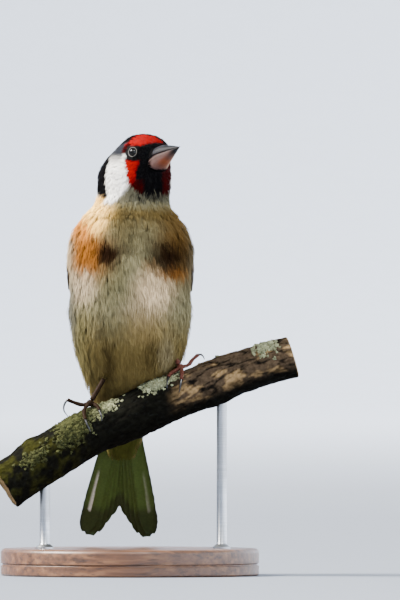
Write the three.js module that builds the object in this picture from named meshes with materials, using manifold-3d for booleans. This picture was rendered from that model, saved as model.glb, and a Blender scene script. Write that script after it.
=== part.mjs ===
// A European goldfinch, life size, perched on a short cut length of branch.
// Two rods hold the branch above a flat base.
// Millimetres, +Z up. The bird faces -Y and its left side is towards +X; the origin is the centre of the
// base's underside. The bird and its perch are drawn in the perch frame, whose origin lies on the axis of
// the branch between the two feet.
import * as THREE from "three";
import { mergeVertices } from "three/addons/utils/BufferGeometryUtils.js";
import Module from "manifold-3d";

const wasm = await Module();
wasm.setup();

const GAP = 0.3; // air left between pieces that touch
const EPSILON = 1e-6;
const FINEST = 0.03; // no smaller steps are kept in a face

// Driving dimensions of the stand
const BASE_RADIUS = 38;
const BASE_THICKNESS = 8;
const BASE_CHAMFER = 1;
const ROD_RADIUS = 1.5;
const ROD_PLACES = { left: -25, right: 27 };
const TAIL_CLEARANCE = 4;
const PERCH_SET_BACK = -3;

// Driving dimensions of the perch: points of its axis, and its thickness
const PERCH_AXIS = [
  [-37, -6.7, -20.4],
  [-23, -4.8, -11.4],
  [-12, -3.3, -4.9],
  [0, -2.2, 0.2],
  [14, -1.2, 6.3],
  [29, -0.2, 12],
  [48, 0.8, 17.8],
];
const PERCH_RADIUS = { low: 7.2, high: 6.2 };
const PERCH_SIDES = 16;
const PERCH_RINGS = 28;

// Driving dimensions of the bird
const TAIL_DROP = 34.6; // the tail's tips below the perch frame's origin
const TAIL_SLOPE = 30; // degrees that the tail leans back from the vertical
const HEAD_TURN = 34; // degrees that the head is turned to its left

// Sections of the body from the crown to the tips of the tail coverts. Each has the place of its centre,
// its half width, its depth to the front and to the back, its turn with the head, and the slope of its plane.
const SECTIONS = [
  { x: 4.1, y: -7.4, z: 83.1, side: 0, front: 0, back: 0, turn: 34, slope: 0 },
  { x: 4.1, y: -7.2, z: 82.4, side: 4.0, front: 4.4, back: 4.0, turn: 34, slope: 0 },
  { x: 4.2, y: -7.4, z: 80.3, side: 6.9, front: 7.3, back: 6.6, turn: 34, slope: 0 },
  { x: 3.4, y: -6.3, z: 77.8, side: 8.4, front: 8.7, back: 8.4, turn: 34, slope: 0 },
  { x: 2.4, y: -4.8, z: 75.2, side: 9.5, front: 10.1, back: 10.5, turn: 34, slope: 0 },
  { x: 1.4, y: -3.3, z: 71.4, side: 10.5, front: 11.6, back: 11.5, turn: 34, slope: 0 },
  { x: 1.2, y: -3.0, z: 68.0, side: 10.6, front: 11.8, back: 11.6, turn: 33, slope: 0 },
  { x: 0.9, y: -2.8, z: 64.6, side: 10.7, front: 11.6, back: 11.6, turn: 27, slope: 0 },
  { x: 0.4, y: -2.7, z: 61.3, side: 12.0, front: 12.3, back: 12.0, turn: 16, slope: 0 },
  { x: 0.1, y: -2.8, z: 57.9, side: 14.8, front: 13.7, back: 13.2, turn: 7, slope: 0 },
  { x: 0.1, y: -3.0, z: 52.0, side: 17.6, front: 15.6, back: 14.8, turn: 2, slope: 2 },
  { x: 0.1, y: -3.0, z: 43.4, side: 18.4, front: 17.0, back: 15.6, turn: 0, slope: 4 },
  { x: 0.1, y: -2.0, z: 34.4, side: 18.1, front: 17.2, back: 15.6, turn: 0, slope: 8 },
  { x: 0.1, y: 0.2, z: 25.6, side: 17.1, front: 15.8, back: 15.2, turn: 0, slope: 16 },
  { x: -0.1, y: 3.5, z: 18.2, side: 15.3, front: 12.0, back: 13.6, turn: 0, slope: 24 },
  { x: -0.6, y: 7.0, z: 12.0, side: 12.7, front: 8.8, back: 11.8, turn: 0, slope: 29 },
  { x: -1.3, y: 10.3, z: 6.9, side: 10.0, front: 7.4, back: 9.4, turn: 0, slope: 30 },
  { x: -1.8, y: 13.4, z: 2.0, side: 8.0, front: 5.8, back: 7.2, turn: 0, slope: 30 },
  { x: -2.1, y: 16.3, z: -3.2, side: 6.4, front: 4.5, back: 5.0, turn: 0, slope: 30 },
  { x: -2.4, y: 19.0, z: -7.6, side: 5.2, front: 3.4, back: 3.0, turn: 0, slope: 30 },
  { x: -2.6, y: 21.3, z: -11.8, side: 3.6, front: 1.9, back: 1.2, turn: 0, slope: 30 },
];
const SECTION_POWER = 2.15; // above 2 a section is a little fuller than an ellipse
const BODY_SIDES = 32;

// Where the body is parted, counted in sections from the crown, and how many rings each stretch has
const STRETCHES = {
  head: { from: 0, to: 7, rings: 15 },
  neck: { from: 7, to: 9, rings: 5 },
  breast: { from: 9, to: 12.5, rings: 9 },
  belly: { from: 12.5, to: 15.5, rings: 8 },
  rump: { from: 15.5, to: 20, rings: 9 },
};

const rad = THREE.MathUtils.degToRad;
const lerp = THREE.MathUtils.lerp;
const vec = (x, y, z) => new THREE.Vector3(x, y, z);

// Closed solids from points and triangles, and the way back to a geometry

function solidFrom(points, triangles) {
  const geometry = new THREE.BufferGeometry().setFromPoints(points);
  geometry.setIndex(triangles.flat());
  return solidOf(geometry);
}

function solidOf(source) {
  const geometry = source.clone();
  geometry.deleteAttribute("normal");
  geometry.deleteAttribute("uv");
  const merged = mergeVertices(geometry, 1e-4);
  const vertProperties = merged.attributes.position.array;
  const triVerts = new Uint32Array(merged.index.array);
  const build = () => new wasm.Manifold(new wasm.Mesh({ numProp: 3, vertProperties, triVerts }));
  const made = build();
  if (made.volume() > 0) return made;
  for (let i = 0; i < triVerts.length; i += 3) {
    [triVerts[i + 1], triVerts[i + 2]] = [triVerts[i + 2], triVerts[i + 1]];
  }
  return build();
}

function geometryOf(solid) {
  const mesh = solid.getMesh();
  const positions = new Float32Array(mesh.numVert * 3);
  for (let i = 0; i < mesh.numVert; i++) {
    positions.set(mesh.vertProperties.subarray(i * mesh.numProp, i * mesh.numProp + 3), i * 3);
  }
  return new THREE.BufferGeometry()
    .setAttribute("position", new THREE.BufferAttribute(positions, 3))
    .setIndex(new THREE.BufferAttribute(mesh.triVerts, 1));
}

const union = (solids) => solids.reduce((sum, one) => sum.add(one));
const largest = (solid) => solid.decompose().sort((a, b) => b.volume() - a.volume())[0];

// A closed skin over rings of equal length, with a flat fan at each end or a point where a ring has no size
function loft(rings) {
  const sides = rings[0].length;
  const points = rings.flat();
  const triangles = [];
  for (let i = 0; i + 1 < rings.length; i++) {
    for (let j = 0; j < sides; j++) {
      const a = i * sides + j;
      const b = i * sides + ((j + 1) % sides);
      triangles.push([a, b, a + sides], [b, b + sides, a + sides]);
    }
  }
  for (const [ring, start] of [[rings[0], 0], [rings.at(-1), (rings.length - 1) * sides]]) {
    const middle = points.length;
    points.push(ring.reduce((sum, p) => sum.add(p), vec(0, 0, 0)).divideScalar(sides));
    for (let j = 0; j < sides; j++) {
      const edge = [start + j, start + ((j + 1) % sides)];
      triangles.push(start === 0 ? [edge[1], edge[0], middle] : [edge[0], edge[1], middle]);
    }
  }
  return solidFrom(points, triangles.filter((t) => triangleArea(points, t) > EPSILON));
}

function triangleArea(points, [a, b, c]) {
  return new THREE.Triangle(points[a], points[b], points[c]).getArea();
}

// Values between the rows of a table, by a smooth curve through them
function smoothTable(rows, keys) {
  const places = rows.map((_, i) => i);
  const values = rows.flatMap((row) => keys.map((key) => row[key]));
  const curve = new THREE.CubicInterpolant(places, values, keys.length);
  return (t) => {
    const values = curve.evaluate(THREE.MathUtils.clamp(t, 0, rows.length - 1));
    return Object.fromEntries(keys.map((key, i) => [key, values[i]]));
  };
}

// A round rod with its own radius at each step of a path
function taperedTube(path, radiusAt, steps, sides) {
  const frames = path.computeFrenetFrames(steps);
  const rings = [];
  for (let i = 0; i <= steps; i++) {
    const centre = path.getPointAt(i / steps);
    const radius = radiusAt(i / steps);
    rings.push(ringOf(sides, (angle) => centre.clone()
      .addScaledVector(frames.normals[i], radius * Math.cos(angle))
      .addScaledVector(frames.binormals[i], radius * Math.sin(angle))));
  }
  return loft(rings);
}

function ringOf(sides, pointAt) {
  return Array.from({ length: sides }, (_, j) => pointAt((2 * Math.PI * j) / sides));
}

// The body's skin

const sectionAt = smoothTable(SECTIONS, ["x", "y", "z", "side", "front", "back", "turn", "slope"]);

// A point of the body's skin: station counts sections from the crown, and angle runs round from the front
// towards the bird's left.
function bodyPoint(station, angle, swell = 0) {
  const s = sectionAt(station);
  const turn = rad(s.turn);
  const slope = rad(s.slope);
  const ahead = vec(Math.sin(turn) * Math.cos(slope), -Math.cos(turn) * Math.cos(slope), -Math.sin(slope));
  const left = vec(Math.cos(turn), Math.sin(turn), 0);
  const side = Math.max(s.side, 0) + swell;
  const deep = Math.max(Math.cos(angle) > 0 ? s.front : s.back, 0) + swell;
  const across = Math.abs(Math.sin(angle)) / Math.max(side, EPSILON);
  const along = Math.abs(Math.cos(angle)) / Math.max(deep, EPSILON);
  const reach = (across ** SECTION_POWER + along ** SECTION_POWER) ** (-1 / SECTION_POWER);
  return vec(s.x, s.y, s.z)
    .addScaledVector(ahead, reach * Math.cos(angle))
    .addScaledVector(left, reach * Math.sin(angle));
}

function bodyStretch(from, to, rings, swell = 0) {
  const list = [];
  for (let i = 0; i <= rings; i++) {
    const station = lerp(from, to, i / rings);
    list.push(ringOf(BODY_SIDES, (angle) => bodyPoint(station, angle, swell)));
  }
  return loft(list);
}

// How far apart in stations two rings stand that are GAP apart in space
function gapAt(station) {
  const step = 0.05;
  const a = sectionAt(station - step);
  const b = sectionAt(station + step);
  return (GAP * 2 * step) / Math.hypot(a.x - b.x, a.y - b.y, a.z - b.z);
}

function bodyNode(name, swell = 0) {
  const { from, to, rings } = STRETCHES[name];
  const start = from === 0 ? 0 : from + gapAt(from) / 2;
  const end = to === SECTIONS.length - 1 ? to : to - gapAt(to) / 2;
  return bodyStretch(start, end, rings, swell);
}

const bodySwollen = bodyStretch(0, SECTIONS.length - 1, 56, GAP);

// The head: eyes with their lids, and the bill

const EYE = { forward: 9.0, height: 78.0, side: 6.75, facing: 62, lift: 12, radius: 1.75, depth: 1.35 };
const LID = { thickness: 0.35, reach: 1.7 };
const BILL = { forward: 12.7, height: 76.7, length: 11.8, pitch: 13, root: 2.6 };
const BILL_HALF_WIDTH = 3.05;
const CULMEN_HEIGHT = 2.9;
const CHIN_DEPTH = 3.3;
const LOWER_BILL_SHARE = 0.95; // the lower bill ends a little before the hooked tip
const NOSTRIL = { forward: 0.9, height: 1.9, radius: 0.38 };

const up = vec(0, 0, 1);
const ahead = vec(Math.sin(rad(HEAD_TURN)), -Math.cos(rad(HEAD_TURN)), 0);
const headLeft = vec(Math.cos(rad(HEAD_TURN)), Math.sin(rad(HEAD_TURN)), 0);
const NECK_AXIS = vec(1.2, -3, 0);

// A place on the head, counted forward and to the left from the neck's axis, and up from the perch
function headPlace(forward, left, height) {
  return NECK_AXIS.clone()
    .addScaledVector(ahead, forward)
    .addScaledVector(headLeft, left)
    .addScaledVector(up, height);
}

// Where an eye looks: side is 1 for the left eye and -1 for the right one
function eyeAxis(side) {
  const facing = rad(EYE.facing);
  const lift = rad(EYE.lift);
  return ahead.clone().multiplyScalar(Math.cos(facing))
    .addScaledVector(headLeft, side * Math.sin(facing))
    .multiplyScalar(Math.cos(lift))
    .addScaledVector(up, Math.sin(lift));
}

function eyeOpening(side) {
  return headPlace(EYE.forward, side * EYE.side, EYE.height);
}

function eyeCentre(side) {
  return eyeOpening(side).addScaledVector(eyeAxis(side), -EYE.depth);
}

function eyeball(side, swell = 0) {
  const centre = eyeCentre(side);
  const sphere = new THREE.SphereGeometry(EYE.radius + swell, 14, 10);
  return solidOf(sphere.translate(centre.x, centre.y, centre.z));
}

// The lids bulge round the eyeball and stop at a round opening, level with its front
function lids(side) {
  const inward = eyeAxis(side).negate();
  const rim = inward.dot(eyeCentre(side)) - LID.reach;
  return eyeball(side, GAP + LID.thickness).trimByPlane(inward.toArray(), rim);
}

const billPitch = rad(BILL.pitch);
const billAhead = ahead.clone().multiplyScalar(Math.cos(billPitch)).addScaledVector(up, Math.sin(billPitch));
const billUp = up.clone().multiplyScalar(Math.cos(billPitch)).addScaledVector(ahead, -Math.sin(billPitch));

function billPlace(forward, left, height) {
  return headPlace(BILL.forward, 0, BILL.height)
    .addScaledVector(billAhead, forward)
    .addScaledVector(headLeft, left)
    .addScaledVector(billUp, height);
}

// Half of the bill: rise is 1 above the mouth line and -1 below it, and share is how far it reaches
function billHalf(rise, height, share, swell = 0, cut = GAP / 2) {
  const rings = [];
  const steps = 9;
  for (let i = 0; i <= steps; i++) {
    const along = i / steps;
    const forward = lerp(-BILL.root, BILL.length * share, along);
    const left = 1 - Math.max(forward, 0) / BILL.length;
    const girth = Math.max(left, 0.035) ** 0.86;
    const arch = rise > 0 ? Math.max(1 - (1 - left) ** 1.45, 0.05) : Math.max(left ** 1.05, 0.05);
    const half = BILL_HALF_WIDTH * girth + swell;
    const tall = height * arch + swell;
    rings.push(ringOf(14, (angle) => {
      const lift = Math.sin(angle) > 0 ? tall * Math.sin(angle) : 0;
      return billPlace(forward, half * Math.cos(angle), rise * (cut + lift));
    }));
  }
  return loft(rings);
}

function nostril(side) {
  const centre = billPlace(NOSTRIL.forward, side * BILL_HALF_WIDTH * 0.78, NOSTRIL.height);
  const pit = new THREE.SphereGeometry(NOSTRIL.radius, 8, 6);
  return solidOf(pit.translate(centre.x, centre.y, centre.z));
}

const billUpper = () => largest(billHalf(1, CULMEN_HEIGHT, 1).subtract(nostril(1)).subtract(nostril(-1)));
const billLower = () => billHalf(-1, CHIN_DEPTH, LOWER_BILL_SHARE);

function head() {
  let solid = bodyNode("head");
  for (const side of [1, -1]) solid = solid.add(lids(side)).subtract(eyeball(side, GAP));
  solid = solid.subtract(billHalf(1, CULMEN_HEIGHT, 1, GAP, -0.05));
  solid = solid.subtract(billHalf(-1, CHIN_DEPTH, 1, GAP, -0.05));
  return largest(solid);
}

// The perch

const perchCurve = new THREE.CatmullRomCurve3(PERCH_AXIS.map((p) => vec(...p)), false, "centripetal");
// Crusts of lichen and knots: their place along the branch, their angle from the top towards the front,
// and their length, width in degrees and height
const PERCH_LUMPS = [
  { x: -19, angle: 55, length: 6, spread: 38, rise: 1.0 },
  { x: -9, angle: 25, length: 4.5, spread: 30, rise: 0.7 },
  { x: 8, angle: 15, length: 4.5, spread: 34, rise: 0.9 },
  { x: 40, angle: 30, length: 4, spread: 30, rise: 0.7 },
  { x: -27, angle: -5, length: 1.8, spread: 24, rise: 1.5 },
  { x: 24, angle: 190, length: 5, spread: 40, rise: 0.8 },
];

function perchRadius(place, angle) {
  const x = perchCurve.getPointAt(place).x;
  const even = lerp(PERCH_RADIUS.low, PERCH_RADIUS.high, place);
  const ripple = 0.22 * Math.sin(3 * angle + 9 * place) + 0.16 * Math.sin(2 * angle - 23 * place);
  const lumps = PERCH_LUMPS.reduce((sum, lump) => {
    const turn = THREE.MathUtils.radToDeg(angle) - lump.angle;
    const round = THREE.MathUtils.euclideanModulo(turn + 180, 360) - 180;
    return sum + lump.rise * Math.exp(-(((x - lump.x) / lump.length) ** 2) - (round / lump.spread) ** 2);
  }, 0);
  return even + ripple + lumps;
}

// A point at a height over the bark: place runs from 0 at the low end to 1, and angle from the top forwards
function perchPoint(place, angle, height) {
  const centre = perchCurve.getPointAt(place);
  const along = perchCurve.getTangentAt(place);
  const top = up.clone().addScaledVector(along, -up.dot(along)).normalize();
  const front = vec(0, 0, 0).crossVectors(top, along);
  if (front.y > 0) front.negate();
  const radius = perchRadius(place, angle) + height;
  return centre.addScaledVector(top, radius * Math.cos(angle)).addScaledVector(front, radius * Math.sin(angle));
}

function perchPlaceAt(x) {
  let low = 0;
  let high = 1;
  for (let i = 0; i < 30; i++) {
    const middle = (low + high) / 2;
    if (perchCurve.getPointAt(middle).x < x) low = middle;
    else high = middle;
  }
  return low;
}

function perch(swell = 0) {
  const rings = [];
  for (let i = 0; i <= PERCH_RINGS; i++) {
    rings.push(ringOf(PERCH_SIDES, (angle) => perchPoint(i / PERCH_RINGS, angle, swell)));
  }
  return loft(rings);
}

const perchSwollen = perch(GAP);


// Legs: thigh, shank, foot and claws. Each point over the bark has its x, its angle in degrees from the top of
// the branch towards the front, and its height.

const TOE_RADIUS = 0.6;
const CLAW_RADIUS = 0.42;
const SHANK_RADIUS = 0.66;
const PAD_RADIUS = 1.05;
const LEGS = {
  right: {
    thigh: [[-6.0, -3.4, 23], [-7.0, -6.2, 17], [-7.9, -5.9, 12.4]],
    thighRadius: [5.0, 3.8, 1.7],
    heel: [-5.2, -3.3, 15.4],
    pad: [-11.7, 20, 1.6],
    toes: {
      outer: [[-13.9, 14, 1.7], [-16.2, 10, 3.2], [-18.3, 8, 4.9]],
      middle: [[-13.3, 28, 1.1], [-13.4, 42, 0.95], [-13.0, 56, 0.9]],
      inner: [[-10.4, 26, 1.1], [-9.5, 36, 0.95], [-8.9, 47, 0.85]],
      hind: [[-11.2, -12, 1.2], [-10.9, -42, 0.95], [-10.7, -70, 0.9]],
    },
    claws: {
      outer: [[-19.2, 8, 4.3], [-19.4, 8, 2.6], [-18.2, 9, 0.5]],
      middle: [[-12.6, 66, 0.95], [-12.0, 76, 0.75], [-11.5, 84, 0.45]],
      inner: [[-8.6, 56, 0.9], [-8.3, 66, 0.7], [-8.2, 73, 0.45]],
      hind: [[-10.6, -82, 1.1], [-10.6, -98, 1.0], [-10.8, -112, 0.45]],
    },
  },
  left: {
    thigh: [[8.2, -3.4, 30], [10.6, -5.8, 23], [13.2, -5.0, 17.2]],
    thighRadius: [5.4, 4.2, 2.0],
    heel: [9.2, -1.8, 24.6],
    pad: [14.9, 20, 1.5],
    toes: {
      outer: [[17.2, 22, 1.3], [18.3, 15, 1.9], [20.0, 11, 2.5]],
      middle: [[15.3, 32, 1.05], [15.3, 44, 0.95], [15.1, 56, 0.9]],
      inner: [[13.2, 24, 1.2], [12.0, 27, 1.1], [11.3, 36, 0.9]],
      hind: [[14.4, -12, 1.2], [14.0, -42, 0.95], [13.7, -70, 0.9]],
    },
    claws: {
      outer: [[20.9, 11, 2.3], [21.6, 11, 1.4], [21.9, 12, 0.5]],
      middle: [[14.9, 66, 0.95], [14.7, 75, 0.75], [14.5, 82, 0.45]],
      inner: [[11.0, 46, 0.85], [10.9, 55, 0.7], [10.9, 62, 0.45]],
      hind: [[13.5, -82, 1.1], [13.4, -98, 1.0], [13.4, -112, 0.45]],
    },
  },
};

// The point over the bark whose own x is the given one
function overBark([x, degrees, height]) {
  let low = 0;
  let high = 1;
  for (let i = 0; i < 30; i++) {
    const middle = (low + high) / 2;
    if (perchPoint(middle, rad(degrees), height).x < x) low = middle;
    else high = middle;
  }
  return perchPoint(low, rad(degrees), height);
}

const curveThrough = (points) => new THREE.CatmullRomCurve3(points, false, "centripetal");

function foot(side, swell = 0) {
  const leg = LEGS[side];
  const pad = overBark(leg.pad);
  const ball = new THREE.SphereGeometry(PAD_RADIUS + swell, 9, 7).translate(pad.x, pad.y, pad.z);
  const toes = Object.values(leg.toes).map((points) => {
    const path = curveThrough([pad, ...points.map(overBark)]);
    const jointed = (t) => TOE_RADIUS * (1 - 0.12 * t + 0.1 * Math.cos(4 * Math.PI * t)) + swell;
    return taperedTube(path, jointed, 7, 6);
  });
  return largest(union([solidOf(ball), ...toes]).subtract(swell > 0 ? perch() : perchSwollen));
}

function claw(side, toe) {
  const leg = LEGS[side];
  const start = overBark(leg.toes[toe].at(-1));
  const path = curveThrough([start, ...leg.claws[toe].map(overBark)]);
  const tube = taperedTube(path, (t) => lerp(CLAW_RADIUS, 0.13, t), 6, 6);
  return largest(tube.subtract(footSwollen[side]).subtract(perchSwollen));
}

const footSwollen = { left: foot("left", GAP), right: foot("right", GAP) };

function thigh(side, swell = 0) {
  const leg = LEGS[side];
  const path = curveThrough(leg.thigh.map((p) => vec(...p)));
  const [top, middle, end] = leg.thighRadius;
  const radiusAt = (t) => (t < 0.5 ? lerp(top, middle, 2 * t) : lerp(middle, end, 2 * t - 1)) + swell;
  return taperedTube(path, radiusAt, 8, 14);
}

function shank(side) {
  const leg = LEGS[side];
  const path = curveThrough([vec(...leg.heel), overBark(leg.pad)]);
  const scaly = (t) => SHANK_RADIUS * (1 + 0.12 * (2 * t - 1) ** 2);
  const tube = taperedTube(path, scaly, 6, 10);
  return largest(tube.subtract(bodySwollen).subtract(thigh(side, GAP)).subtract(footSwollen[side]));
}

// Flight and tail feathers: thin vanes with the upper and the lower face divided into the same triangles

const VANE_THICKNESS = 0.55;

// A vane from rings of four corners: left and right below, then right and left above
function vane(rings) {
  const points = rings.flat();
  const triangles = [];
  for (let i = 0; i + 1 < rings.length; i++) {
    const [a, b, c, d] = [0, 1, 2, 3].map((k) => 4 * i + k);
    triangles.push([a, b, b + 4], [a, b + 4, a + 4], [c, d, c + 4], [d, d + 4, c + 4]);
    triangles.push([b, c, b + 4], [c, c + 4, b + 4], [d, a, d + 4], [a, a + 4, d + 4]);
  }
  const last = 4 * (rings.length - 1);
  triangles.push([0, 2, 1], [0, 3, 2], [last, last + 1, last + 2], [last, last + 2, last + 3]);
  return solidFrom(points, triangles);
}

// Half width of a feather along its length, rounded at the tip
const LONG_STEPS = [0, 0.35, 0.7, 0.93, 1];
const SHORT_STEPS = [0, 0.6, 1];
const featherGirth = (t) => (t < 0.75 ? lerp(0.75, 1, t / 0.75) : lerp(1, 0.25, ((t - 0.75) / 0.25) ** 2));

// A feather on a surface: place(along, across, height) gives its points, root and tip are [along, across],
// base is its height, tilt lifts its first edge, and rise lifts its tip
function feather(place, { root, tip, half, base, tilt, rise = 0, swell = 0, steps = LONG_STEPS }) {
  const rings = steps.map((t) => {
    const along = lerp(root[0], tip[0], t);
    const across = lerp(root[1], tip[1], t);
    const reach = half * featherGirth(t) + swell;
    const low = base + rise * t;
    return [
      place(along, across - reach, low + tilt - swell),
      place(along, across + reach, low - swell),
      place(along, across + reach, low + VANE_THICKNESS + swell),
      place(along, across - reach, low + tilt + VANE_THICKNESS + swell),
    ];
  });
  return vane(rings);
}

// The tail: twelve feathers, the outer ones lowest and the longest

const TAIL = { x: -1.6, y: 11.6, z: 7.4, half: 2.75, step: 0.28 };
const TAIL_FEATHERS = [
  { spread: 10.2, start: 0.9, length: 48.0 },
  { spread: 8.7, start: 0.8, length: 48.8 },
  { spread: 7.0, start: 0.7, length: 47.8 },
  { spread: 5.2, start: 0.6, length: 45.8 },
  { spread: 3.4, start: 0.45, length: 43.2 },
  { spread: 1.7, start: 0.3, length: 40.4 },
];
const tailDown = vec(0, Math.sin(rad(TAIL_SLOPE)), -Math.cos(rad(TAIL_SLOPE)));
const tailUp = vec(0, Math.cos(rad(TAIL_SLOPE)), Math.sin(rad(TAIL_SLOPE)));

// The tail's feathers fan out slightly from its root, and its axis leans a little to the bird's right
function tailPlace(spread, start, side) {
  const turn = rad(side * spread - 2.4);
  return (along, across, height) => vec(TAIL.x, TAIL.y, TAIL.z)
    .add(vec(side * start, 0, 0))
    .addScaledVector(tailDown, along * Math.cos(turn) - side * across * Math.sin(turn))
    .add(vec(along * Math.sin(turn) + side * across * Math.cos(turn), 0, 0))
    .addScaledVector(tailUp, height);
}

function tail(swell = 0) {
  const feathers = [];
  for (const side of [1, -1]) {
    TAIL_FEATHERS.forEach(({ spread, start, length }, i) => {
      const place = tailPlace(spread, start, side);
      const root = [-swell, 0];
      const tip = [length + swell, 0];
      feathers.push(feather(place, { root, tip, half: TAIL.half, base: i * TAIL.step, tilt: 0, swell }));
    });
  }
  return union(feathers);
}

// The wings: a folded wing lies on a patch between a lower and an upper edge, drawn for the left side

const WING_LOWER = [[14.0, -4.5, 53], [16.0, 0, 43], [15.2, 6.2, 29], [12.9, 12.8, 14.5], [7.4, 20.8, -3], [4.4, 29.0, -18]];
const WING_UPPER = [[8.6, 6.5, 57.5], [6.4, 11.4, 47], [5.2, 14.4, 32], [4.2, 18.0, 16], [2.2, 23.4, -2], [1.0, 29.6, -18.5]];
const WING_BULGE = 0.16; // how far the patch arches out, as a share of its width
const WING_SHOULDER = { lift: 1.8, reach: 0.36 }; // the shoulder stands out from the body's side
const wingLower = curveThrough(WING_LOWER.map((p) => vec(...p)));
const wingUpper = curveThrough(WING_UPPER.map((p) => vec(...p)));

const wingEdges = (along) => [wingLower, wingUpper].map((edge) => edge.getPointAt(THREE.MathUtils.clamp(along, 0, 1)));

function wingWidth(along) {
  const [low, high] = wingEdges(along);
  return low.distanceTo(high);
}

function wingSheet(along, across) {
  const [low, high] = wingEdges(along);
  const width = low.distanceTo(high);
  const share = across / width;
  const out = vec(low.x, low.y - 2, 0).add(vec(high.x, high.y - 2, 0)).normalize();
  const shoulder = 1 - THREE.MathUtils.smoothstep(along, 0, WING_SHOULDER.reach);
  const clear = THREE.MathUtils.smoothstep(share, -0.05, 0.35);
  const arch = 4 * WING_BULGE * width * share * (1 - share);
  return low.lerp(high, share).addScaledVector(out, arch + WING_SHOULDER.lift * shoulder * clear);
}

// along runs from the shoulder to the wing's tip, and across in millimetres from the lower edge
function wingPoint(along, across, height) {
  const step = 0.01;
  const point = wingSheet(along, across);
  const lengthwise = wingSheet(along + step, across).sub(wingSheet(along - step, across));
  const crosswise = wingSheet(along, across + step).sub(wingSheet(along, across - step));
  return point.addScaledVector(lengthwise.cross(crosswise).normalize(), height);
}

// The line that the back follows, on which the body and the folded wings are centred
const middleAt = (z) => 0.1 - 2.8 * THREE.MathUtils.smoothstep(-z, -25, 12);

function wingPlace(side) {
  const mirror = side === "left" ? 1 : -1;
  return (along, across, height) => {
    const point = wingPoint(along, across, height);
    return point.setX(mirror * point.x + middleAt(point.z));
  };
}

const WING_FEATHERS = [
  { count: 9, root: [[0.24, 2.0], [0.2, 4.8]], tip: [[0.99, 1.2], [0.7, 5.6]], half: 1.9, base: [0, 0.5], tilt: 0.5 },
  { count: 5, root: [[0.16, 5.0], [0.14, 8.6]], tip: [[0.665, 6.2], [0.62, 9]], half: 2.1, base: [0.6, 0.9], tilt: 0.5 },
  { count: 3, root: [[0.16, 8.8], [0.14, 11]], tip: [[0.63, 9.6], [0.5, 12]], half: 2.6, base: [1.0, 1.3], tilt: 0.5 },
];
const WING_COVERTS = [
  { count: 7, root: [[0.14, 2.2], [0.1, 13]], tip: [[0.31, 2.4], [0.35, 13.2]], half: 2.1, base: [0.6, 1.5], tilt: 0.5 },
  { count: 6, root: [[0.02, 2.4], [0.02, 13.5]], tip: [[0.17, 2.4], [0.2, 13.6]], half: 2.3, base: [0.7, 1.8], tilt: 0.5 },
];
const COVERT_RISE = 0.4;

function featherRow({ count, root, tip, half, base, tilt }, place, more) {
  return Array.from({ length: count }, (_, i) => {
    const share = i / (count - 1);
    const mix = ([first, last]) => [lerp(first[0], last[0], share), lerp(first[1], last[1], share)];
    return feather(place, {
      root: mix(root), tip: mix(tip), half, base: lerp(base[0], base[1], share), tilt, ...more,
    });
  });
}

// The flesh of the wing under its coverts, sunk into the body's side
function wingCore(side) {
  const place = wingPlace(side);
  const rings = [];
  const steps = 4;
  for (let i = 0; i <= steps; i++) {
    const along = lerp(0, 0.3, i / steps);
    const width = wingWidth(along);
    const thick = lerp(2.0, 0.9, i / steps);
    rings.push(ringOf(8, (angle) => {
      const across = (width * (1 - Math.cos(angle))) / 2;
      return place(along, across, Math.sin(angle) > 0 ? thick * Math.sin(angle) : 3.2 * Math.sin(angle));
    }));
  }
  return loft(rings);
}

function wing(side) {
  const place = wingPlace(side);
  const flight = WING_FEATHERS.flatMap((row) => featherRow(row, place, {}));
  const coverts = WING_COVERTS.flatMap((row) => featherRow(row, place, { rise: COVERT_RISE, steps: SHORT_STEPS }));
  const whole = union([...flight, ...coverts, wingCore(side)]);
  return largest(whole.subtract(bodySwollen).subtract(tailSwollen));
}

const tailSwollen = tail(GAP);

// The stand: a round base, and two rods up to the perch

const PERCH_HEIGHT = BASE_THICKNESS + TAIL_CLEARANCE + TAIL_DROP;

function base() {
  const outline = [[0, 0], [BASE_RADIUS, 0], [BASE_RADIUS, BASE_THICKNESS - BASE_CHAMFER]];
  outline.push([BASE_RADIUS - BASE_CHAMFER, BASE_THICKNESS], [0, BASE_THICKNESS]);
  const shape = new THREE.LatheGeometry(outline.map(([r, z]) => new THREE.Vector2(r, z)), 48);
  return solidOf(shape.rotateX(Math.PI / 2));
}

// A rod from the base's top into a shallow hollow under the branch, in the perch frame
function rod(side) {
  const x = ROD_PLACES[side];
  const top = perchCurve.getPointAt(perchPlaceAt(x));
  const bottom = BASE_THICKNESS + GAP - PERCH_HEIGHT;
  const shape = new THREE.CylinderGeometry(ROD_RADIUS, ROD_RADIUS, top.z - bottom, 20);
  shape.rotateX(Math.PI / 2).translate(x, top.y, (top.z + bottom) / 2);
  return largest(solidOf(shape).subtract(perchSwollen));
}

function mesh(name, solid, material) {
  const made = new THREE.Mesh(geometryOf(largest(solid.simplify(FINEST))), material);
  made.name = name;
  return made;
}

const finish = (color, roughness, metalness = 0) => new THREE.MeshStandardMaterial({ color, roughness, metalness });
const MATERIALS = {
  plumage: finish(0xcbb79c, 0.9),
  head: finish(0x8d2f22, 0.9),
  flight: finish(0x2c2a28, 0.8),
  eye: finish(0x120c0a, 0.15),
  bill: finish(0xd8b7a8, 0.45),
  leg: finish(0x9a6a58, 0.6),
  claw: finish(0x4a3a33, 0.5),
  bark: finish(0x6d5d50, 0.95),
  base: finish(0x8a6443, 0.6),
  rod: finish(0x8b8d90, 0.35, 0.9),
};

const bird = new THREE.Group();
bird.name = "goldfinch";
const node = (name, solid, material) => bird.add(mesh(name, solid, material));

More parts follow.
